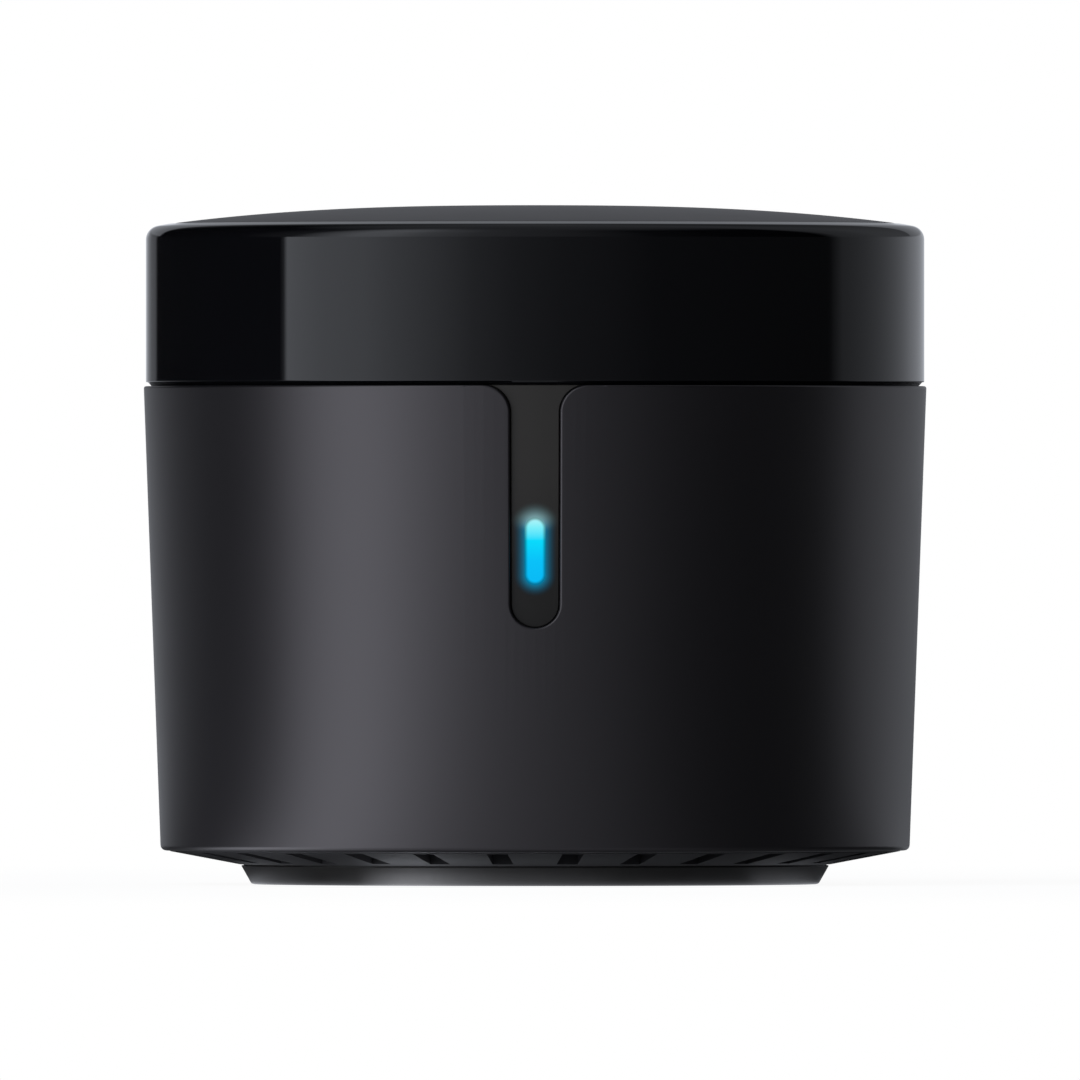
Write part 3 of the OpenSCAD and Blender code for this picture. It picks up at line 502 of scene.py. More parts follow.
class Piece:
    """A piece on the bench. Its mesh is in millimetres until it is finished."""

    def __init__(self, name: str) -> None:
        """Takes up the object that was just made."""
        self.body = bpy.context.active_object
        self.body.name = name

    def work_on(self) -> None:
        """Makes this the only object that a tool acts on."""
        bpy.ops.object.select_all(action="DESELECT")
        bpy.context.view_layer.objects.active = self.body
        self.body.select_set(True)

    def edit(self, mode: str = "VERT") -> None:
        """Opens the mesh with everything selected."""
        self.work_on()
        bpy.ops.object.mode_set(mode="EDIT")
        bpy.ops.mesh.select_mode(type=mode)
        bpy.ops.mesh.select_all(action="SELECT")

    def close(self) -> None:
        """Closes the mesh."""
        bpy.ops.object.mode_set(mode="OBJECT")

    def pick(self, mode: str, wanted: Callable[..., bool]) -> None:
        """Opens the mesh with only some points or edges selected.

        Args:
            mode: VERT for points or EDGE for edges.
            wanted: The test that a point's place, or the places of an edge's two ends, have to pass.
        """
        self.edit(mode)
        bpy.ops.mesh.select_all(action="DESELECT")
        self.close()
        points = self.body.data.vertices
        for edge in self.body.data.edges if mode == "EDGE" else ():
            edge.select = wanted(*(tuple(points[i].co) for i in edge.vertices))
        for point in points if mode == "VERT" else ():
            point.select = wanted(tuple(point.co))
        bpy.ops.object.mode_set(mode="EDIT")

    def tidy(self, reach: float = 1e-4) -> None:
        """Merges points that lie within reach of each other and turns all faces outwards."""
        self.edit()
        bpy.ops.mesh.remove_doubles(threshold=reach)
        bpy.ops.mesh.normals_make_consistent(inside=False)
        self.close()

    def apply(self, kind: str, **settings: object) -> None:
        """Applies one modifier.

        Args:
            kind: The modifier's type.
            settings: Its settings.
        """
        self.work_on()
        modifier = self.body.modifiers.new("step", kind)
        for name, value in settings.items():
            setattr(modifier, name, value)
        bpy.ops.object.modifier_apply(modifier=modifier.name)

    def meet(self, other: "Piece", how: Join) -> None:
        """Adds another solid to this one, or cuts it out, and clears it away."""
        self.apply("BOOLEAN", operation=how.value, solver="EXACT", object=other.body)
        bpy.data.objects.remove(other.body)

    def cut_columns(self, step: float, reach: float) -> None:
        """Cuts the mesh into upright columns, so that it can bend.

        Args:
            step: Width of a column.
            reach: Distance of the outermost cut from the middle.
        """
        count = math.floor(reach / step)
        for i in range(-count, count + 1):
            self.edit()
            bpy.ops.mesh.bisect(plane_co=(i * step, 0, 0), plane_no=(1, 0, 0))
            self.close()

    def wrap(self, radius: float, widening: float) -> None:
        """Bends the flat piece round the upright axis and widens it upwards.

        Args:
            radius: The case's radius at the table's height.
            widening: Growth of that radius for each millimetre of height, as a share.
        """
        xs = [v.co.x for v in self.body.data.vertices]
        zs = [v.co.z for v in self.body.data.vertices]
        angle = (max(xs) - min(xs)) / radius
        self.apply("SIMPLE_DEFORM", deform_method="BEND", deform_axis="Z", angle=angle)
        self.edit()
        bpy.ops.transform.translate(value=(0, -radius, 0))
        self.close()
        factor = (max(zs) - min(zs)) * widening
        self.apply("SIMPLE_DEFORM", deform_method="TAPER", deform_axis="Z", factor=factor)

    def turn(self, degrees: float) -> None:
        """Turns the piece round the upright axis."""
        self.work_on()
        self.body.rotation_euler = (0, 0, math.radians(degrees))
        bpy.ops.object.transform_apply(location=False, rotation=True, scale=False)

    def finish(self, body: str, look: Material, slot: str, nodes: tuple[str, ...]) -> None:
        """Brings the piece to metres, smooths it, dresses it and hands it to its body.

        Args:
            body: Name of the CAD body that it rides on.
            look: Its material.
            slot: The record's material slot. Not used.
            nodes: CAD nodes that it stands for.
        """
        self.tidy()
        self.body.scale = (MM, MM, MM)
        bpy.ops.object.transform_apply(location=False, rotation=False, scale=True)
        bpy.ops.object.shade_smooth_by_angle(angle=SMOOTH_ANGLE)
        self.apply("WEIGHTED_NORMAL", keep_sharp=True, mode="FACE_AREA", weight=50)
        self.body.data.materials.clear()
        self.body.data.materials.append(look)
        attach(self.body, body)
        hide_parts(*nodes)
        LOG.info("%s: %d faces", self.body.name, len(self.body.data.polygons))


def softened(corners: list[Place]) -> list[Point]:
    """Rounds the corners of an outline.

    Args:
        corners: Radius, height and rounding of each corner, in order.

    Returns:
        The outline's points. Each rounded corner becomes an arc.
    """
    places = [complex(x, y) for x, y, _ in corners]
    points: list[Point] = []
    for i, (x, y, rounding) in enumerate(corners):
        if rounding == 0:
            points.append((x, y))
            continue
        ways = [places[j % len(places)] - places[i] for j in (i - 1, i + 1)]
        back, ahead = (way / abs(way) for way in ways)
        half = abs(cmath.phase(ahead / back)) / 2
        centre = places[i] + (back + ahead) / abs(back + ahead) * rounding / math.sin(half)
        first, last = (places[i] + way * rounding / math.tan(half) - centre for way in (back, ahead))
        swing = cmath.phase(last / first)
        for k in range(ARC_STEPS + 1):
            point = centre + first * cmath.rect(1, swing * k / ARC_STEPS)
            points.append((point.real, point.imag))
    return points


def added(name: str, add: Callable[..., object], **settings: object) -> Piece:
    """Adds one of Blender's ready shapes.

    Args:
        name: The piece's name.
        add: The tool that adds the shape.
        settings: The tool's settings.

    Returns:
        The piece.
    """
    bpy.ops.object.select_all(action="DESELECT")
    add(**settings)
    piece = Piece(name)
    bpy.ops.object.transform_apply(location=True, rotation=True, scale=True)
    return piece


def turned(name: str, outline: list[Point], ends: Ends) -> Piece:
    """Turns an outline round the upright axis, by pulling a circle from point to point.

    Args:
        name: The piece's name.
        outline: Radius and height of its points. With capped ends it runs from one end face to the other.
        ends: Whether the piece ends in flat faces, or is a ring.

    Returns:
        The piece.
    """
    radius, height = outline[0]
    add, spot = bpy.ops.mesh.primitive_circle_add, (0, 0, height)
    piece = added(name, add, vertices=TURNED_STEPS, radius=radius, fill_type=ends.value, location=spot)
    piece.edit("FACE" if ends is Ends.CAPPED else "EDGE")
    pull = bpy.ops.mesh.extrude_region_move if ends is Ends.CAPPED else bpy.ops.mesh.extrude_edges_move
    rows = outline if ends is Ends.CAPPED else [*outline, outline[0]]
    for (from_r, from_z), (to_r, to_z) in zip(rows, rows[1:]):
        pull(TRANSFORM_OT_translate={"value": (0, 0, to_z - from_z)})
        share = to_r / from_r
        bpy.ops.transform.resize(value=(share, share, 1), center_override=(0, 0, to_z))
    piece.close()
    piece.tidy()
    return piece


def block(name: str, low: Place, high: Place, corner: float = 0.0) -> Piece:
    """Makes a block between two corners, whose edges along Y can be rounded.

    Args:
        name: The piece's name.
        low: Its lowest X, Y and Z.
        high: Its highest X, Y and Z.
        corner: Rounding of the four edges along Y.

    Returns:
        The piece.
    """
    middle = tuple((a + b) / 2 for a, b in zip(low, high))
    size = tuple(b - a for a, b in zip(low, high))
    piece = added(name, bpy.ops.mesh.primitive_cube_add, size=1, location=middle, scale=size)
    if corner:
        piece.pick("EDGE", lambda a, b: abs(a[1] - b[1]) > NEAR)
        bpy.ops.mesh.bevel(offset=corner, segments=CORNER_STEPS, affect="EDGES", clamp_overlap=False)
        piece.close()
        piece.tidy(4 * SLIT)
    return piece


def bar(name: str, radius: float, length: float, middle: Place, tilt: Place = (0, 0, 0)) -> Piece:
    """Makes a round bar.

    Args:
        name: The piece's name.
        radius: Its radius.
        length: Its length.
        middle: Its middle.
        tilt: Its turn round X, Y and Z in degrees, from upright.

    Returns:
        The piece.
    """
    add, turn = bpy.ops.mesh.primitive_cylinder_add, tuple(math.radians(t) for t in tilt)
    return added(name, add, vertices=BAR_STEPS, radius=radius, depth=length, location=middle, rotation=turn)


@dataclass
class Groove:
    """The front groove, seen from the front: round at the bottom and flared at the parting line."""

    half_w: float = 1.53
    low_z: float = 16.4
    high_z: float = 31.8
    flare_r: float = 1.72
    over: float = 1.6
    arm: float = 1.5
    arc_steps: int = 14

    def sheet(self, name: str, grow: float, depth: float) -> Piece:
        """Draws the groove as one flat face.

        Args:
            name: The piece's name.
            grow: How much wider than the groove the face is, all round.
            depth: Its distance behind the case's surface.

        Returns:
            The piece.
        """
        half = self.half_w + grow
        low, high = self.low_z - grow, self.high_z - grow
        bpy.ops.object.select_all(action="DESELECT")
        spot = (0, depth, (low + high) / 2)
        bpy.ops.mesh.primitive_plane_add(size=1, location=spot, rotation=(math.radians(90), 0, 0))
        sheet = Piece(name)
        sheet.body.scale = (2 * half, high - low, 1)
        bpy.ops.object.transform_apply(location=True, rotation=True, scale=True)
        sheet.pick("EDGE", lambda a, b: min(a[2], b[2]) > high - NEAR)
        bpy.ops.mesh.extrude_edges_move(TRANSFORM_OT_translate={"value": (0, 0, self.over + grow)})
        sheet.close()
        reach = self.flare_r - grow + self.arm
        for side in (-1, 1):
            sheet.pick(
                "EDGE",
                lambda a, b: min(side * a[0], side * b[0]) > half - NEAR and min(a[2], b[2]) > high - NEAR,
            )
            bpy.ops.mesh.extrude_edges_move(TRANSFORM_OT_translate={"value": (side * reach, 0, 0)})
            sheet.close()
        sheet.edit("FACE")
        bpy.ops.mesh.dissolve_faces()
        sheet.close()
        for radius, level in ((half - SLIT, low), (self.flare_r - grow, high)):
            sheet.pick("VERT", lambda p: abs(abs(p[0]) - half) < NEAR and abs(p[2] - level) < NEAR)
            steps = self.arc_steps
            bpy.ops.mesh.bevel(offset=radius, segments=steps, affect="VERTICES", clamp_overlap=False)
            sheet.close()
        sheet.tidy(4 * SLIT)
        return sheet


@dataclass
class CaseShell:
    """The matte case: a tapered tube with the front groove, the inlet's recess and the button's hole."""

    top_r: float = 25.0
    bottom_r: float = 23.92
    bottom_z: float = 2.15
    top_z: float = 31.8
    bore_r: float = 23.2
    ledge_z: float = 27.5
    ledge_w: float = 0.5
    lip_r: float = 23.4
    lip_edge: float = 0.08
    low_edge: float = 0.35
    high_edge: float = 0.14
    low_wall: float = 1.8
    seat_z: float = 3.15
    groove_edge: float = 0.16
    groove_outside: float = 0.35
    groove_steps: int = 3
    groove_floor: float = 1.05
    column: float = 0.45
    boss_ring_r: float = 15.25
    boss_r: float = 2.2
    boss_low_z: float = 3.6
    boss_high_z: float = 8.1
    boss_turns: tuple[int, ...] = (90, 210, 330)
    pilot_r: float = 1.0
    pilot_roof: float = 0.8
    rib_half: float = 0.7
    rib_far: float = 23.0
    port_pad: tuple[Place, Place] = ((-6.7, 21.34, 6.25), (6.7, 22.9, 15.65))
    port_z: float = 10.95
    recess_half: Point = (5.7, 3.7)
    recess_corner: float = 1.7
    recess_span: Point = (22.34, 26.0)
    slot_half: Point = (3.95, 1.55)
    slot_corner: float = 0.8
    slot_span: Point = (20.0, 23.0)
    button_turn: float = -24.0
    button_pad: tuple[Place, Place] = ((-2.35, 21.96, 9.0), (2.35, 23.0, 13.7))
    button_z: float = 11.35
    button_hole_r: float = 1.35
    button_hole_l: float = 6.0
    button_hole_y: float = 23.96
    window_pad: tuple[Place, Place] = ((-2.01, -23.2, 17.75), (2.01, -21.5, 24.79))
    window_z: float = 21.27
    window_half: Point = (0.66, 2.17)
    window_span: Point = (-26.0, -20.0)

    @property
    def table_r(self) -> float:
        """The case's radius, carried down to the table's height."""
        return self.bottom_r - (self.top_r - self.bottom_r) * self.bottom_z / (self.top_z - self.bottom_z)

    @property
    def widening(self) -> float:
        """Growth of the radius for each millimetre of height, as a share of table_r."""
        return (self.top_r - self.bottom_r) / (self.top_z - self.bottom_z) / self.table_r

    def wall(self) -> Piece:
        """Turns the wall, with its lip, its seat and its ledge.

        Returns:
            The wall.
        """
        cavity_top = self.bore_r - self.ledge_w
        cavity_low = self.bottom_r - self.low_wall
        outline = softened([
            (self.lip_r, self.bottom_z, self.lip_edge),
            (self.bottom_r, self.bottom_z, self.low_edge),
            (self.top_r, self.top_z, self.high_edge),
            (self.bore_r, self.top_z, 0.0),
            (self.bore_r, self.ledge_z, 0.0),
            (cavity_top, self.ledge_z, 0.0),
            (cavity_low, self.seat_z, 0.0),
            (self.lip_r, self.seat_z, 0.0),
        ])
        return turned("case_shell", outline, Ends.JOINED)

    def groove_tool(self, groove: Groove) -> Piece:
        """Makes the tool that cuts the groove with rounded edges.

        Args:
            groove: The groove.

        Returns:
            The tool.
        """
        outside, edge, steps = self.groove_outside, self.groove_edge, self.groove_steps
        tool = groove.sheet("groove_tool", edge + outside, -2 * outside)
        tool.edit("FACE")
        bpy.ops.mesh.extrude_region_move(TRANSFORM_OT_translate={"value": (0, outside, 0)})
        turns = [math.pi / 2 * k / steps for k in range(steps + 1)]
        arc = [(edge * (1 - math.sin(a)), edge * (1 - math.cos(a))) for a in turns]
        rings = [(edge + outside, -outside), *arc]
        for (from_grow, from_y), (to_grow, to_y) in zip(rings, rings[1:]):
            bpy.ops.mesh.inset(thickness=from_grow - to_grow, depth=0)
            bpy.ops.transform.translate(value=(0, to_y - from_y, 0))
        bpy.ops.mesh.extrude_region_move(TRANSFORM_OT_translate={"value": (0, self.groove_floor - edge, 0)})
        tool.close()
        tool.tidy()
        tool.cut_columns(self.column, groove.half_w + groove.flare_r + groove.arm)
        tool.wrap(self.table_r, self.widening)
        return tool

    def add_boss(self, shell: Piece, turn: float) -> None:
        """Adds a base screw's post with its rib and its pilot hole.

        Args:
            shell: The shell so far.
            turn: The post's place round the upright axis, in degrees.
        """
        low, high = self.boss_low_z, self.boss_high_z
        rib = block("rib", (self.boss_ring_r, -self.rib_half, low), (self.rib_far, self.rib_half, high))
        rib.turn(turn)
        shell.meet(rib, Join.ADD)
        for radius, foot, head, how in (
            (self.boss_r, low, high, Join.ADD),
            (self.pilot_r, low - 1, high - self.pilot_roof, Join.CUT),
        ):
            post = bar("post", radius, head - foot, (self.boss_ring_r, 0, (foot + head) / 2))
            post.turn(turn)
            shell.meet(post, how)

    def build(self, groove: Groove, look: Material) -> None:
        """Builds the case and dresses it.

        Args:
            groove: The front groove.
            look: The case's material.
        """
        shell = self.wall()
        shell.meet(block("pad", *self.port_pad), Join.ADD)
        pad = block("pad", *self.button_pad)
        pad.turn(self.button_turn)
        shell.meet(pad, Join.ADD)
        shell.meet(block("pad", *self.window_pad), Join.ADD)
        for turn in self.boss_turns:
            self.add_boss(shell, turn)
        shell.meet(self.groove_tool(groove), Join.CUT)
        shell.meet(self.window_tool(*self.window_span), Join.CUT)
        for half, corner, (near, far) in (
            (self.recess_half, self.recess_corner, self.recess_span),
            (self.slot_half, self.slot_corner, self.slot_span),
        ):
            low = (-half[0], near, self.port_z - half[1])
            high = (half[0], far, self.port_z + half[1])
            shell.meet(block("port", low, high, corner), Join.CUT)
        middle = (0, self.button_hole_y, self.button_z)
        hole = bar("hole", self.button_hole_r, self.button_hole_l, middle, (90, 0, 0))
        hole.turn(self.button_turn)
        shell.meet(hole, Join.CUT)
        shell.finish("housing", look, "case_plastic", ("main_shell",))

    def window_tool(self, near: float, far: float) -> Piece:
        """Makes the tool that cuts the light pipe's hole, between two places on Y."""
        half_w, half_h = self.window_half
        low = (-half_w, near, self.window_z - half_h)
        high = (half_w, far, self.window_z + half_h)
        return block("window", low, high, half_w - SLIT)


@dataclass
class FrontStrip:
    """Strip that lines the front groove, with the lit window in it."""

    gap: float = 0.05
    front: float = 0.3
    back: float = 1.0
    edge: float = 0.04
    window_span: Point = (-0.5, 2.0)

    def build(self, shell: CaseShell, groove: Groove, look: Material) -> None:
        """Builds the strip and dresses it.

        Args:
            shell: The case that it lies in.
            groove: The groove that it lines.
            look: The strip's material.
        """
        strip = groove.sheet("front_strip", -self.gap, self.back)
        strip.edit("FACE")
        bpy.ops.mesh.bisect(plane_co=(0, 0, groove.high_z), plane_no=(0, 0, 1), clear_outer=True)
        strip.close()
        strip.edit("FACE")
        forward = (0, self.front + self.edge - self.back, 0)
        bpy.ops.mesh.extrude_region_move(TRANSFORM_OT_translate={"value": forward})
        bpy.ops.mesh.inset(thickness=self.edge, depth=0)
        bpy.ops.transform.translate(value=(0, -self.edge, 0))
        strip.close()
        strip.tidy()
        strip.meet(shell.window_tool(*self.window_span), Join.CUT)
        strip.cut_columns(shell.column, groove.half_w + groove.flare_r)
        strip.wrap(shell.table_r, shell.widening)
        strip.finish("housing", look, "strip_plastic", ("front_insert",))


@dataclass
class GlossCap:
    """Glossy cap that infrared light passes through, with a rounded rim and the plate's pocket."""

    outer_r: float = 24.86
    inner_r: float = 23.26
    spigot_r: float = 24.5
    spigot_slant: float = 0.24
    spigot_z: float = 31.8
    low_z: float = 32.05
    rim_z: float = 42.19
    fillet: float = 0.9
    pocket_r: float = 23.3
    pocket_z: float = 40.99
    ceiling_z: float = 39.79
    fillet_steps: int = 12
    slope: float = 10.0
    low_edge: float = 0.06
    lip: float = 0.06

    def build(self, look: Material) -> None:
        """Builds the cap and dresses it.

        Args:
            look: The cap's material.
        """
        slope = math.radians(self.slope)
        shoulder_z = self.rim_z - (self.outer_r - self.pocket_r) * math.tan(slope)
        side = [(self.inner_r, self.ceiling_z, 0.0), (self.inner_r, self.spigot_z, 0.0)]
        side += [(self.spigot_r, self.spigot_z, 0.0), (self.spigot_r + self.spigot_slant, self.low_z, 0.0)]
        side += [(self.outer_r, self.low_z, self.low_edge)]
        outline = softened([*side, (self.outer_r, shoulder_z, 0.0), (0.0, shoulder_z, 0.0)])[:-2]
        centre_x = self.outer_r - self.fillet
        touch_z = self.rim_z - (centre_x + self.fillet * math.sin(slope) - self.pocket_r) * math.tan(slope)
        centre_z = touch_z - self.fillet * math.cos(slope)
        for i in range(self.fillet_steps + 1):
            angle = math.radians((90 - self.slope) * i / self.fillet_steps)
            x = centre_x + self.fillet * math.cos(angle)
            outline.append((x, centre_z + self.fillet * math.sin(angle)))
        outline += [(self.pocket_r + self.lip, self.rim_z - self.lip * math.tan(slope))]
        outline += [(self.pocket_r, self.rim_z - self.lip), (self.pocket_r, self.pocket_z)]
        cap = turned("gloss_cap", outline, Ends.CAPPED)
        cap.finish("housing", look, "cap_plastic", ("ir_cap",))


@dataclass
class TopPlate:
    """Domed matte disc in the cap's rim."""

    radius: float = 23.22
    rim_z: float = 42.19
    rise: float = 1.16
    power: float = 2.6
    under_z: float = 41.19
    tape_w: float = 2.4
    steps: int = 56
    edge: float = 0.08

    def dome(self, share: float) -> float:
        """Returns the dome's height over the plate's edge, at a share of its radius."""
        return self.rise * (1 - share**self.power)

    def build(self, look: Material) -> None:
        """Builds the plate and dresses it.

        Args:
            look: The plate's material.
        """
        inner = self.radius - self.tape_w
        shares = [i / self.steps for i in range(1, self.steps)]
        outline = [(inner * s, self.under_z + self.dome(s)) for s in shares]
        outline += [(inner, self.under_z), (self.radius, self.under_z)]
        outline += [(self.radius, self.rim_z - self.edge)]
        outline += [(self.radius - self.edge / 3, self.rim_z - self.edge / 3)]
        outline += [(self.radius * s, self.rim_z + self.dome(s)) for s in reversed(shares)]
        plate = turned("top_disc", outline, Ends.CAPPED)
        plate.finish("housing", look, "plate_plastic", ("top_plate",))


@dataclass
class Foot:
    """Round rubber foot with a leaning side and a grip groove underneath."""

    low_r: float = 18.1
    high_r: float = 18.78
    height: float = 1.2
    neck_r: float = 18.62
    neck_z: float = 1.27
    spigot_r: float = 17.6
    spigot_z: float = 1.6
    groove_r: float = 15.8
    groove_w: float = 0.5
    groove_depth: float = 0.2
    groove_edge: float = 0.05
    low_edge: float = 0.24
    high_edge: float = 0.04

    def build(self, look: Material) -> None:
        """Builds the foot and dresses it.

        Args:
            look: The foot's material.
        """
        corners = [
            (self.groove_r, 0.0, self.groove_edge),
            (self.groove_r, self.groove_depth, 0.0),
            (self.groove_r + self.groove_w, self.groove_depth, 0.0),
            (self.groove_r + self.groove_w, 0.0, self.groove_edge),
            (self.low_r, 0.0, self.low_edge),
            (self.high_r, self.height, self.high_edge),
            (self.neck_r, self.height, 0.0),
            (self.neck_r, self.neck_z, 0.0),
            (self.spigot_r, self.neck_z, 0.0),
            (self.spigot_r, self.spigot_z, 0.0),
            (0.0, self.spigot_z, 0.0),
            (0.0, 0.0, 0.0),
        ]
        foot = turned("rubber_foot", softened(corners)[:-2], Ends.CAPPED)
        foot.finish("housing", look, "foot_rubber", ("foot_pad",))


def dress(node: str, look: Material) -> None:
    """Gives a CAD node its material."""
    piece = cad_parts[node]
    piece.data.materials.clear()
    piece.data.materials.append(look)


@dataclass
class Inside:
    """The CAD nodes that keep their own shapes: finishes, each with the names of the nodes that have it."""

    groups: tuple[tuple[Finish, str], ...] = (
        (
            Metal("plated_steel", linear(190, 192, 197), 0.25),
            "base_screws board_screws led_screws led_leads",
        ),
        (Metal("tinned_sheet", linear(200, 201, 204), 0.32), "usb_socket wifi_shield receiver_shield"),
        (Metal("gilt_contacts", linear(226, 184, 92), 0.22), "usb_contacts link_pins"),
        (Metal("aluminium_can", linear(205, 206, 208), 0.3), "filter_capacitor"),
        (Metal("inductor_ferrite", linear(70, 70, 76), 0.5), "power_inductor"),
        (
            MouldedPlastic("chip_black", linear(34, 34, 37), 0.45),
            "processor regulator drivers led_resistors ir_receiver usb_tongue",
        ),
        (MouldedPlastic("ivory_plastic", linear(226, 222, 212), 0.45), "led_holder switch_plunger"),
        (MouldedPlastic("chip_tan", linear(176, 140, 92), 0.5), "chip_parts"),
        (
            MouldedPlastic("frame_black", linear(30, 30, 33), 0.5),
            "inner_frame switch_body link_base link_top",
        ),
        (
            PolishedPlastic("diode_violet", linear(54, 42, 84), 0.06),
            "ir_led_1 ir_led_2 ir_led_3 ir_led_4 ir_led_5 ir_led_6",
        ),
        (PolishedPlastic("lamp_white", linear(236, 240, 240), 0.2), "status_led"),
        (MouldedPlastic("tape_film", linear(216, 210, 192), 0.6), "plate_tape"),
        (CircuitBoard("board_green", linear(24, 84, 52), linear(44, 120, 76)), "main_board led_board"),
        (CircuitBoard("board_blue", linear(26, 44, 92), linear(50, 78, 136)), "wifi_board"),
    )

    def build(self, base: Material, button: Material, pipe: Material) -> None:
        """Dresses every CAD node that stays.

        Args:
            base: The base cover's material.
            button: The reset button's material.
            pipe: The light pipe's material.
        """
        for finish, nodes in self.groups:
            look = finish.material()
            for node in nodes.split():
                dress(node, look)
        dress("base_cover", base)
        dress("reset_button", button)
        dress("light_pipe", pipe)
        LOG.info("inside: %d finishes", len(self.groups))


@dataclass
class Studio:
    """Plain studio: white to the eye, and to the object a dark room with a soft window on its left.

    Angles run from the front round by the right, in degrees. The floor's zones are radii in millimetres.
    """

    level: float = 1.5
    tint: Colour = (0.95, 0.99, 1.08)
    top_level: float = 0.4
    disc: Point = (0.845, 0.875)
    disc_level: float = 0.36
    band: Point = (0.06, 0.14)
    top: Point = (0.75, 0.98)
    floor_r: float = 3.0
    shaded: Point = (60.0, 200.0)
    clearance: float = 0.02
    shade: float = 0.12
    lit_share: float = 0.5
    dull: float = 0.1
    # Painted light and shade in the floor's glow for the object's rays: dim inside the apron as painted
    # shade under the object, bright rings beside the foot and at its edge, and light under the foot.
    apron: Point = (23.0, 27.0)
    foot_low: Point = (17.9, 18.1)
    foot_high: Point = (18.9, 19.3)
    under_shade_level: float = 0.08
    beside_level: float = 1.3
    foot_level: float = 0.5
    edge_high: Point = (18.1, 18.5)
    edge_level: float = 1.1
    eye_band: Stops = (
        (-180, 0.5), (-172, 0.4), (-166, 0.24), (-160, 0.15), (-154, 0.14), (-151.5, 0.006),
        (-80.3, 0.0), (-79.3, 1.45), (-66, 1.2), (-52, 1.1), (-42, 0.84), (-30, 0.58),
        (-18, 0.32), (-6, 0.19), (8, 0.12), (22, 0.09), (36, 0.05), (98, 0.03),
        (104, 0.2), (125, 0.28), (148, 0.38), (160, 0.36), (172, 0.38), (180, 0.45),
    )
    walls: Stops = (
        (-180, 0.12), (-150, 0.0), (-100, 0.0), (-78, 0.1), (-66, 0.9), (-56, 1.45),
        (-46, 1.4), (-34, 0.85), (-18, 0.42), (-6, 0.3), (8, 0.22), (22, 0.12),
        (36, 0.03), (60, 0.0), (96, 0.0), (104, 0.24), (125, 0.24), (148, 0.12), (165, 0.06), (180, 0.12),
    )
    low_walls: Stops = (
        (-180, 0.26), (-164, 0.32), (-148, 0.3), (-130, 0.16), (-100, 0.0), (-78, 0.1), (-66, 0.9),
        (-56, 1.45), (-46, 1.4), (-34, 0.85), (-18, 0.42), (-6, 0.3), (8, 0.22), (22, 0.14),
        (36, 0.05), (60, 0.01), (96, 0.02), (106, 0.24), (125, 0.24), (148, 0.12), (165, 0.02), (180, 0.1),
    )

    def around(self, desk: Desk, x: Wire, y: Wire, levels: Stops) -> Wire:
        """Reads the walls' light by direction.

        Args:
            desk: The desk of the nodes.
            x: Direction's X.
            y: Direction's Y.
            levels: Light at each angle, from the front round by the right.

        Returns:
            The light.
        """
        turn = x.combined("ARCTAN2", 0 - y) / (2 * math.pi) + 0.5
        stops = [((degrees + 180) / 360, (level, level, level)) for degrees, level in levels]
        return desk.ramp(turn, stops) * self.level

    def light(self) -> None:
        """Lights the scene with the world alone."""
        world = bpy.data.worlds.new("studio")
        bpy.context.scene.world = world
        world.use_nodes = True
        desk = Desk(world.node_tree)
        x, y, z, _ = desk.place("Generated")
        eye = self.around(desk, x, y, self.eye_band)
        rest = self.around(desk, x, y, self.walls)
        out = abs(z).ramped(*self.band)
        high = z.ramped(*self.top)
        disc = y.ramped(*self.disc) * out * self.disc_level
        glow = eye * (1 - out) + (rest * (1 - high)).larger(disc) * out + self.top_level * high
        seen = desk.wire("Background", {"Color": (1, 1, 1, 1), "Strength": 1.0})
        lit = desk.wire("Background", {"Color": opaque(self.tint), "Strength": glow})
        mixed = desk.wire("MixShader", {0: desk.to_eye(), 1: lit, 2: seen})
        desk.add("OutputWorld", {"Surface": mixed})

    def shown_ground(self, desk: Desk, away: Wire) -> Wire:
        """Makes the white ground that the eye sees, with the object's faint shadow.

        Args:
            desk: The desk of the nodes.
            away: Distance from the middle.

        Returns:
            The shader.
        """
        paper = desk.wire("BsdfDiffuse", {"Color": opaque((self.shade,) * 3)})
        base = desk.wire("Emission", {"Strength": 1 - self.shade * self.lit_share})
        near = desk.wire("AddShader", {0: paper, 1: base})
        white = desk.wire("Emission", {"Strength": 1.0})
        return desk.wire("MixShader", {0: away.stepped(self.shaded), 1: near, 2: white})

    def painted_floor_glow(self, desk: Desk, x: Wire, y: Wire, away: Wire) -> Wire:
        """Makes the dull ground that the object's own rays meet, with a painted glow: the walls' light
        painted in by direction on the open floor, painted shade under the object, painted reflections of
        the walls in a ring beside the foot, and painted light at the foot's edge and under it.

        Args:
            desk: The desk of the nodes.
            x: The place's X.
            y: The place's Y.
            away: Distance from the middle.

        Returns:
            The shader.
        """
        open_floor = away.stepped(self.apron)
        outside = away.stepped(self.foot_low)
        beside = outside - away.stepped(self.foot_high)
        edge = outside - away.stepped(self.edge_high)
        # Painted glow: the walls' light painted in by direction on the open floor, and painted shade under
        # the object inside the apron.
        painted_glow = self.around(desk, x, y, self.low_walls) * open_floor + self.under_shade_level * (1 - open_floor)
        # Painted reflection of the walls in a ring beside the foot, then painted light at the foot's edge
        # and under the foot.
        mirrored = self.around(desk, -2 * x * y, x * x - y * y, self.low_walls)
        painted_glow = painted_glow + mirrored * beside * self.beside_level
        painted_glow = painted_glow + edge * self.edge_level + self.foot_level * (1 - outside)
        gleam = desk.wire("Emission", {"Color": opaque(self.tint), "Strength": painted_glow})
        dull = desk.wire("BsdfDiffuse", {"Color": opaque((self.dull,) * 3)})
        return desk.wire("AddShader", {0: dull, 1: gleam})

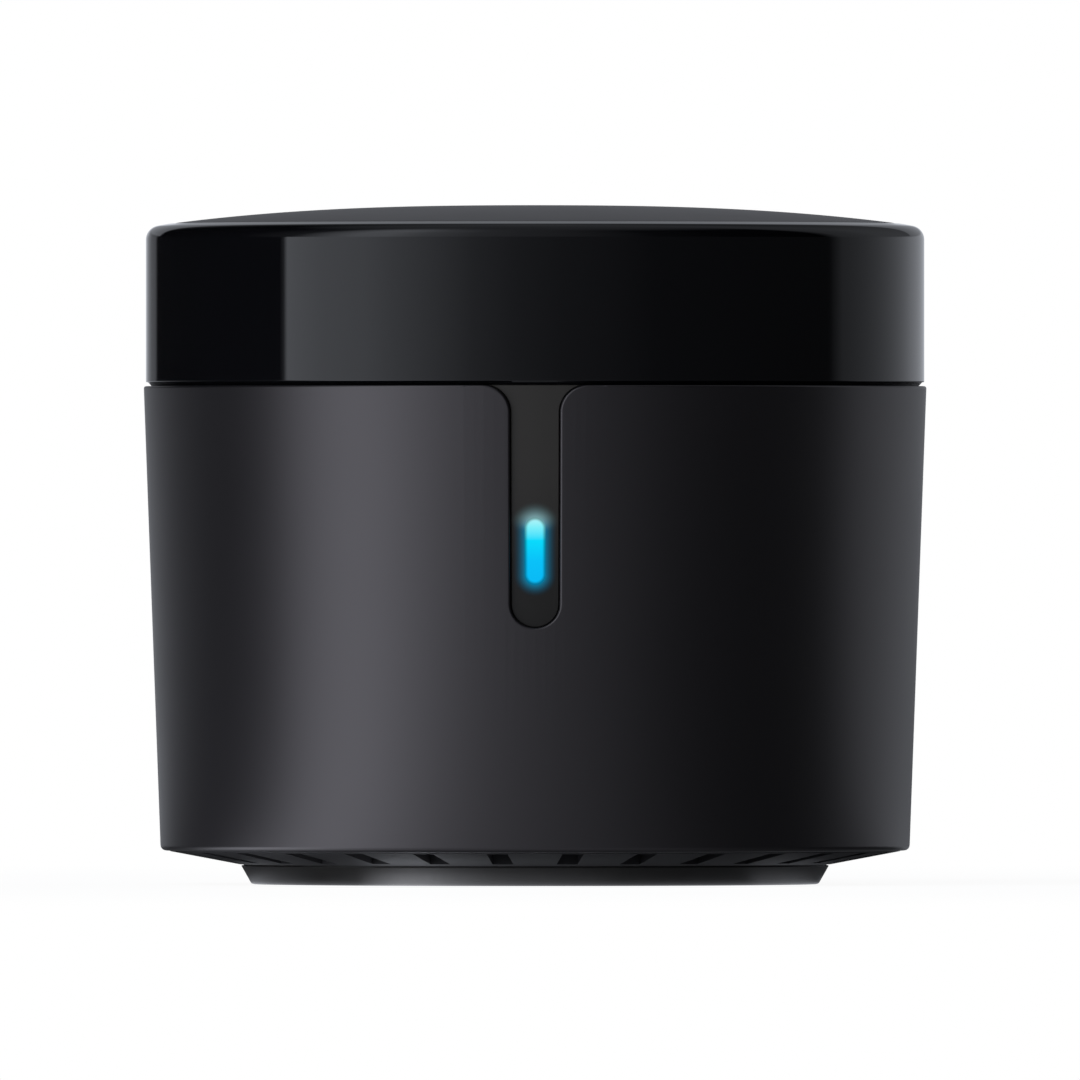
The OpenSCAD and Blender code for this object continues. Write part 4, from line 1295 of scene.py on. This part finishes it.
    def floor(self) -> None:
        """Lays the pale floor, which is clear from below."""
        bpy.ops.object.select_all(action="DESELECT")
        spot = (0, 0, -self.clearance * MM)
        bpy.ops.mesh.primitive_circle_add(vertices=96, radius=self.floor_r, fill_type="NGON", location=spot)
        piece = bpy.context.active_object
        piece.name = "studio_floor"
        material, desk = new_material("pale_floor")
        x, y, _, _ = desk.place()
        away = (x * x + y * y) ** 0.5
        shown = self.shown_ground(desk, away)
        unseen = self.painted_floor_glow(desk, x, y, away)
        mixed = desk.wire("MixShader", {0: desk.to_eye(), 1: unseen, 2: shown})
        below = desk.wire("NewGeometry", output="Backfacing")
        sided = desk.wire("MixShader", {0: below, 1: mixed, 2: desk.wire("BsdfTransparent")})
        desk.add("OutputMaterial", {"Surface": sided})
        material.cycles.emission_sampling = "NONE"
        piece.data.materials.append(material)

    def build(self) -> None:
        """Sets up light and floor."""
        self.light()
        self.floor()
        bpy.context.scene.view_settings.view_transform = "Standard"
        LOG.info("studio: ready")


@dataclass
class Viewpoint:
    """The photograph's level view, from so far away that it shows no perspective."""

    middle: Point = (0.313, 21.975)
    width: float = 68.99
    away: float = 3000.0
    sensor: float = 36.0
    clip_end: float = 100.0

    def build(self) -> None:
        """Makes the scene's camera."""
        data = bpy.data.cameras.new("viewpoint")
        data.sensor_width = self.sensor
        data.lens = self.sensor * self.away / self.width
        data.clip_end = self.clip_end
        camera = bpy.data.objects.new("viewpoint", data)
        camera.location = (self.middle[0] * MM, -self.away * MM, self.middle[1] * MM)
        camera.rotation_euler = (math.radians(90), 0, 0)
        bpy.context.scene.collection.objects.link(camera)
        bpy.context.scene.camera = camera


def main() -> None:
    """Builds and dresses the whole blaster, and the studio round it."""
    logging.basicConfig(level=logging.INFO, format="%(name)s %(message)s")
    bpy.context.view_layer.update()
    Viewpoint().build()
    Studio().build()
    groove = Groove()
    shell = CaseShell()
    violet = (1.05, 0.99, 1.02)
    case_look = MouldedPlastic("case_plastic", linear(20, 19, 21), 0.34, 0.66, violet).material()
    plate_look = MouldedPlastic("plate_plastic", linear(30, 29, 31), 0.42, 0.6, violet).material()
    shell.build(groove, case_look)
    strip_look = StripPlastic(
        "strip_plastic",
        colour=linear(52, 50, 47),
        # Painted glow round the lit window: teal beside it, whiter above it.
        glow=linear(0, 120, 156),
        painted_high_glow=linear(122, 166, 172),
        window_z=shell.window_z,
        window_half_w=0.61,
        window_half_straight=1.51,
    ).material()
    pipe_look = LitPipe(
        "lit_pipe",
        low_z=shell.window_z - 2.12,
        high_z=shell.window_z + 2.12,
        half_w=0.66,
        stops=(
            (0.0, linear(0, 184, 244)),
            (0.35, linear(0, 192, 247)),
            (0.66, linear(0, 217, 251)),
            (0.85, linear(122, 237, 248)),
            (1.0, linear(180, 243, 246)),
        ),
    ).material()
    FrontStrip().build(shell, groove, strip_look)
    GlossCap().build(PolishedPlastic("cap_plastic", linear(9, 9, 11), 0.02, 0.33).material())
    TopPlate().build(plate_look)
    Foot().build(Rubber("foot_rubber", linear(42, 40, 38), 0.5).material())
    Inside().build(
        MouldedPlastic("base_plastic", linear(40, 39, 41), 0.6, 0.25).material(),
        MouldedPlastic("button_plastic", linear(24, 24, 26), 0.4).material(),
        pipe_look,
    )


if __name__ == "__main__":
    main()
